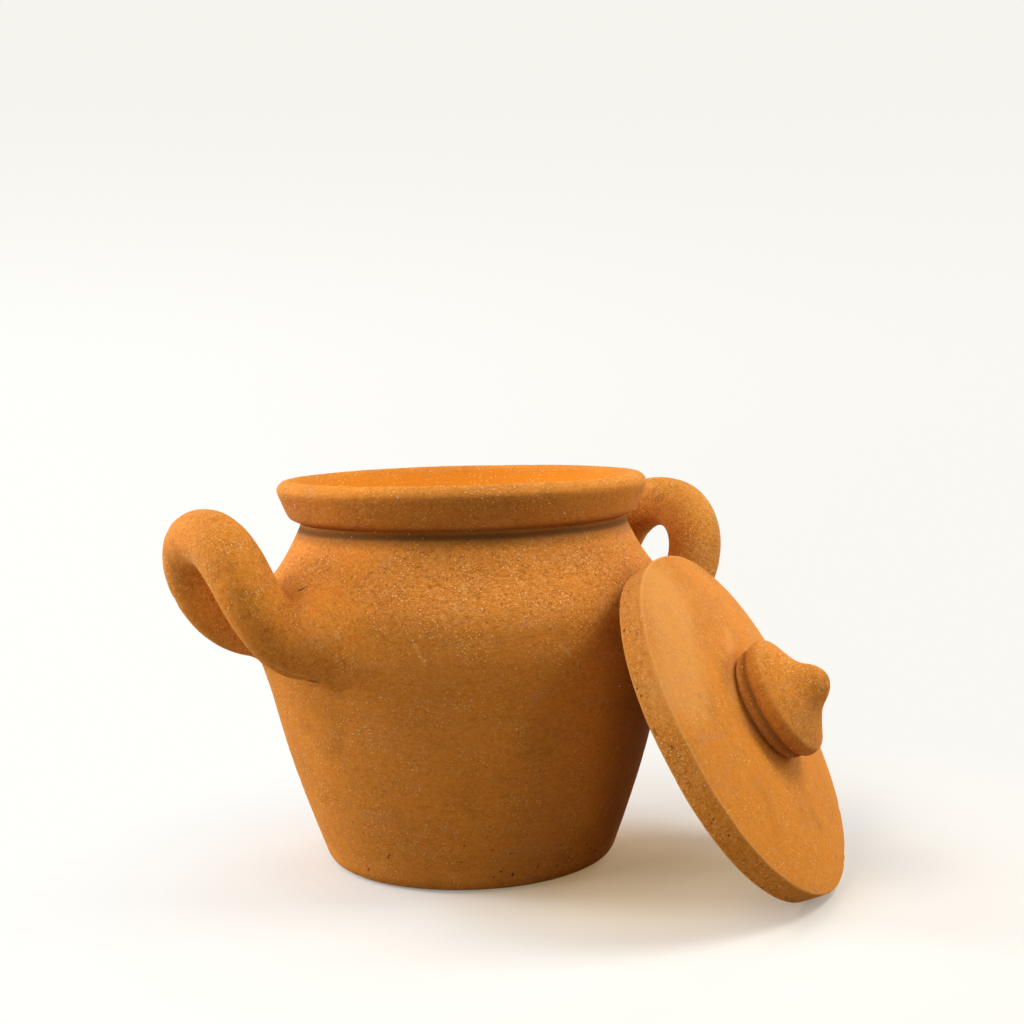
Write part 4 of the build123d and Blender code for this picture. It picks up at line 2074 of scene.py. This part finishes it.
@dataclass
class Studio:
    """Floor, backdrop, soft lamps and the camera that looks as the photographer did."""

    eye: Place = (-0.2649, -0.4111, 0.1473)
    heading: float = 34.613
    dip: float = 4.638
    roll: float = -1.467
    lens: float = 54.81
    sensor: float = 36.0
    nearest: float = 0.01
    floor_size: float = 8.0
    panels: tuple[SoftPanel, ...] = (
        SoftPanel("left_panel", (-0.684, 0.594, 0.35), 0.35, 6.6),
        SoftPanel("left_back_panel", (-0.403, 0.825, 0.35), 0.35, 2.3),
        SoftPanel("left_front_panel", (-0.840, -0.513, 0.40), 0.35, 1.55),
        SoftPanel("left_top_panel", (-0.556, -0.102, 0.70), 0.30, 1.9),
        SoftPanel("high_panel", (-0.350, 0.050, 0.75), 0.30, 1.3),
        SoftPanel("near_left_panel", (-0.220, 0.030, 0.360), 0.12, 0.11),
        SoftPanel("right_top_panel", (0.250, -0.250, 0.45), 0.20, 1.45),
        SoftPanel("right_front_panel", (0.333, -0.838, 0.35), 0.35, 1.0),
        SoftPanel("right_panel", (0.798, -0.429, 0.35), 0.35, 2.8),
        SoftPanel("right_back_panel", (0.838, 0.333, 0.35), 0.35, 1.8),
    )

    @property
    def backdrop(self) -> Backdrop:
        """The pale backdrop, lit from the left as the camera sees it."""
        return Backdrop(self.heading)

    def set_up(self) -> None:
        """Builds the floor, the backdrop, the lamps and the camera."""
        self.lay_floor()
        self.hang_backdrop()
        for panel in self.panels:
            panel.hang()
        self.aim_camera()
        bpy.context.scene.view_settings.view_transform = "Standard"

    def lay_floor(self) -> None:
        """Lays the floor that the pot stands on."""
        half = self.floor_size / 2
        corners = [(-half, -half, 0.0), (half, -half, 0.0), (half, half, 0.0), (-half, half, 0.0)]
        mesh = bpy.data.meshes.new("floor")
        mesh.from_pydata(corners, [], [(0, 1, 2, 3)])
        mesh.materials.append(PaleFloor().material(self.backdrop))
        floor = bpy.data.objects.new("floor", mesh)
        bpy.context.scene.collection.objects.link(floor)

    def hang_backdrop(self) -> None:
        """Makes the world a pale backdrop that shows and sheds no light."""
        world = bpy.data.worlds.new("backdrop")
        world.use_nodes = True
        world.node_tree.nodes.clear()
        sheet = Sheet(world.node_tree)
        facing = sheet.node("ShaderNodeTexCoord", {}, {}, "Generated")
        shown = self.backdrop.shown(sheet, facing)
        dark = sheet.node("ShaderNodeBackground", {}, {"Strength": 0.0})
        pale = sheet.node("ShaderNodeBackground", {}, {"Color": shown, "Strength": 1.0})
        both = sheet.node("ShaderNodeMixShader", {}, {0: shown_rays(sheet), 1: dark, 2: pale})
        sheet.node("ShaderNodeOutputWorld", {}, {"Surface": both})
        bpy.context.scene.world = world

    def aim_camera(self) -> None:
        """Places the camera where the pot was photographed from."""
        heading, dip, roll = (math.radians(angle) for angle in (self.heading, self.dip, self.roll))
        forward = Vector(
            (math.sin(heading) * math.cos(dip), math.cos(heading) * math.cos(dip), -math.sin(dip))
        )
        right = Vector((math.cos(heading), -math.sin(heading), 0.0))
        up = right.cross(forward)
        tilted_right = right * math.cos(roll) + up * math.sin(roll)
        tilted_up = up * math.cos(roll) - right * math.sin(roll)
        turn = Matrix((tilted_right, tilted_up, -forward)).transposed()
        camera = bpy.data.cameras.new("photo_view")
        camera.sensor_fit = "HORIZONTAL"
        camera.sensor_width = self.sensor
        camera.lens = self.lens
        camera.clip_start = self.nearest
        viewer = bpy.data.objects.new("photo_view", camera)
        viewer.matrix_world = Matrix.Translation(Vector(self.eye)) @ turn.to_4x4()
        bpy.context.scene.collection.objects.link(viewer)
        bpy.context.scene.camera = viewer


def main() -> None:
    """Builds the pot, its handles, its lid and the sand in their clay, and sets up the studio."""
    logging.basicConfig(level=logging.INFO, format="%(message)s")
    pot_marks, lid_marks, rod_marks = (tuple(named.values()) for named in (POT_MARKS, LID_MARKS, ROD_MARKS))
    thrown = Terracotta("thrown_terracotta", Making.THROWN, pot_marks, grain_stretch=1.7).material()
    turned = Terracotta("turned_terracotta", Making.THROWN, lid_marks).material()
    rolled = Terracotta("rolled_terracotta", Making.ROLLED, rod_marks).material()
    # Painted shade: a darker, duller copy of the rod's clay for the right handle.
    shaded_copy = Terracotta(
        "shaded_copy_terracotta",
        Making.ROLLED,
        clay=(0.585, 0.219, 0.030),
        ember=(0.660, 0.246, 0.027),
        umber=(0.355, 0.121, 0.015),
        rose=(0.570, 0.241, 0.069),
    ).material()
    grains = SandGrain().material()
    wheel, hand, sieve = PottersWheel(), RollingHand(), GritSieve()
    pot = Pot()
    wall = pot.build_wall(wheel, thrown)
    collar = pot.build_collar(wheel, thrown)
    wall_map = WallMap(pot, wall)
    smeared = Root(outer=12.0 * MM, upper=12.0 * MM, lower=1.2 * MM, ridge=0.6 * MM)
    raised = Root(lift=2.0 * MM)
    left = Handle(Side.LEFT, smeared, raised, seed=53).build(pot, wall_map, hand, rolled)
    right = Handle(Side.RIGHT, Root(), Root(), seed=67).build(pot, wall_map, hand, shaded_copy)
    lid = Lid()
    plate = lid.build_plate(wheel, turned)
    knob = lid.build_knob(wheel, turned)
    sand = Sand()
    sand.sift(Body.POT, (wall, collar, left, right), sieve, grains, seed=71)
    sand.sift(Body.LID, (plate, knob), sieve, grains, seed=83)
    Studio().set_up()


if __name__ == "__main__":
    main()
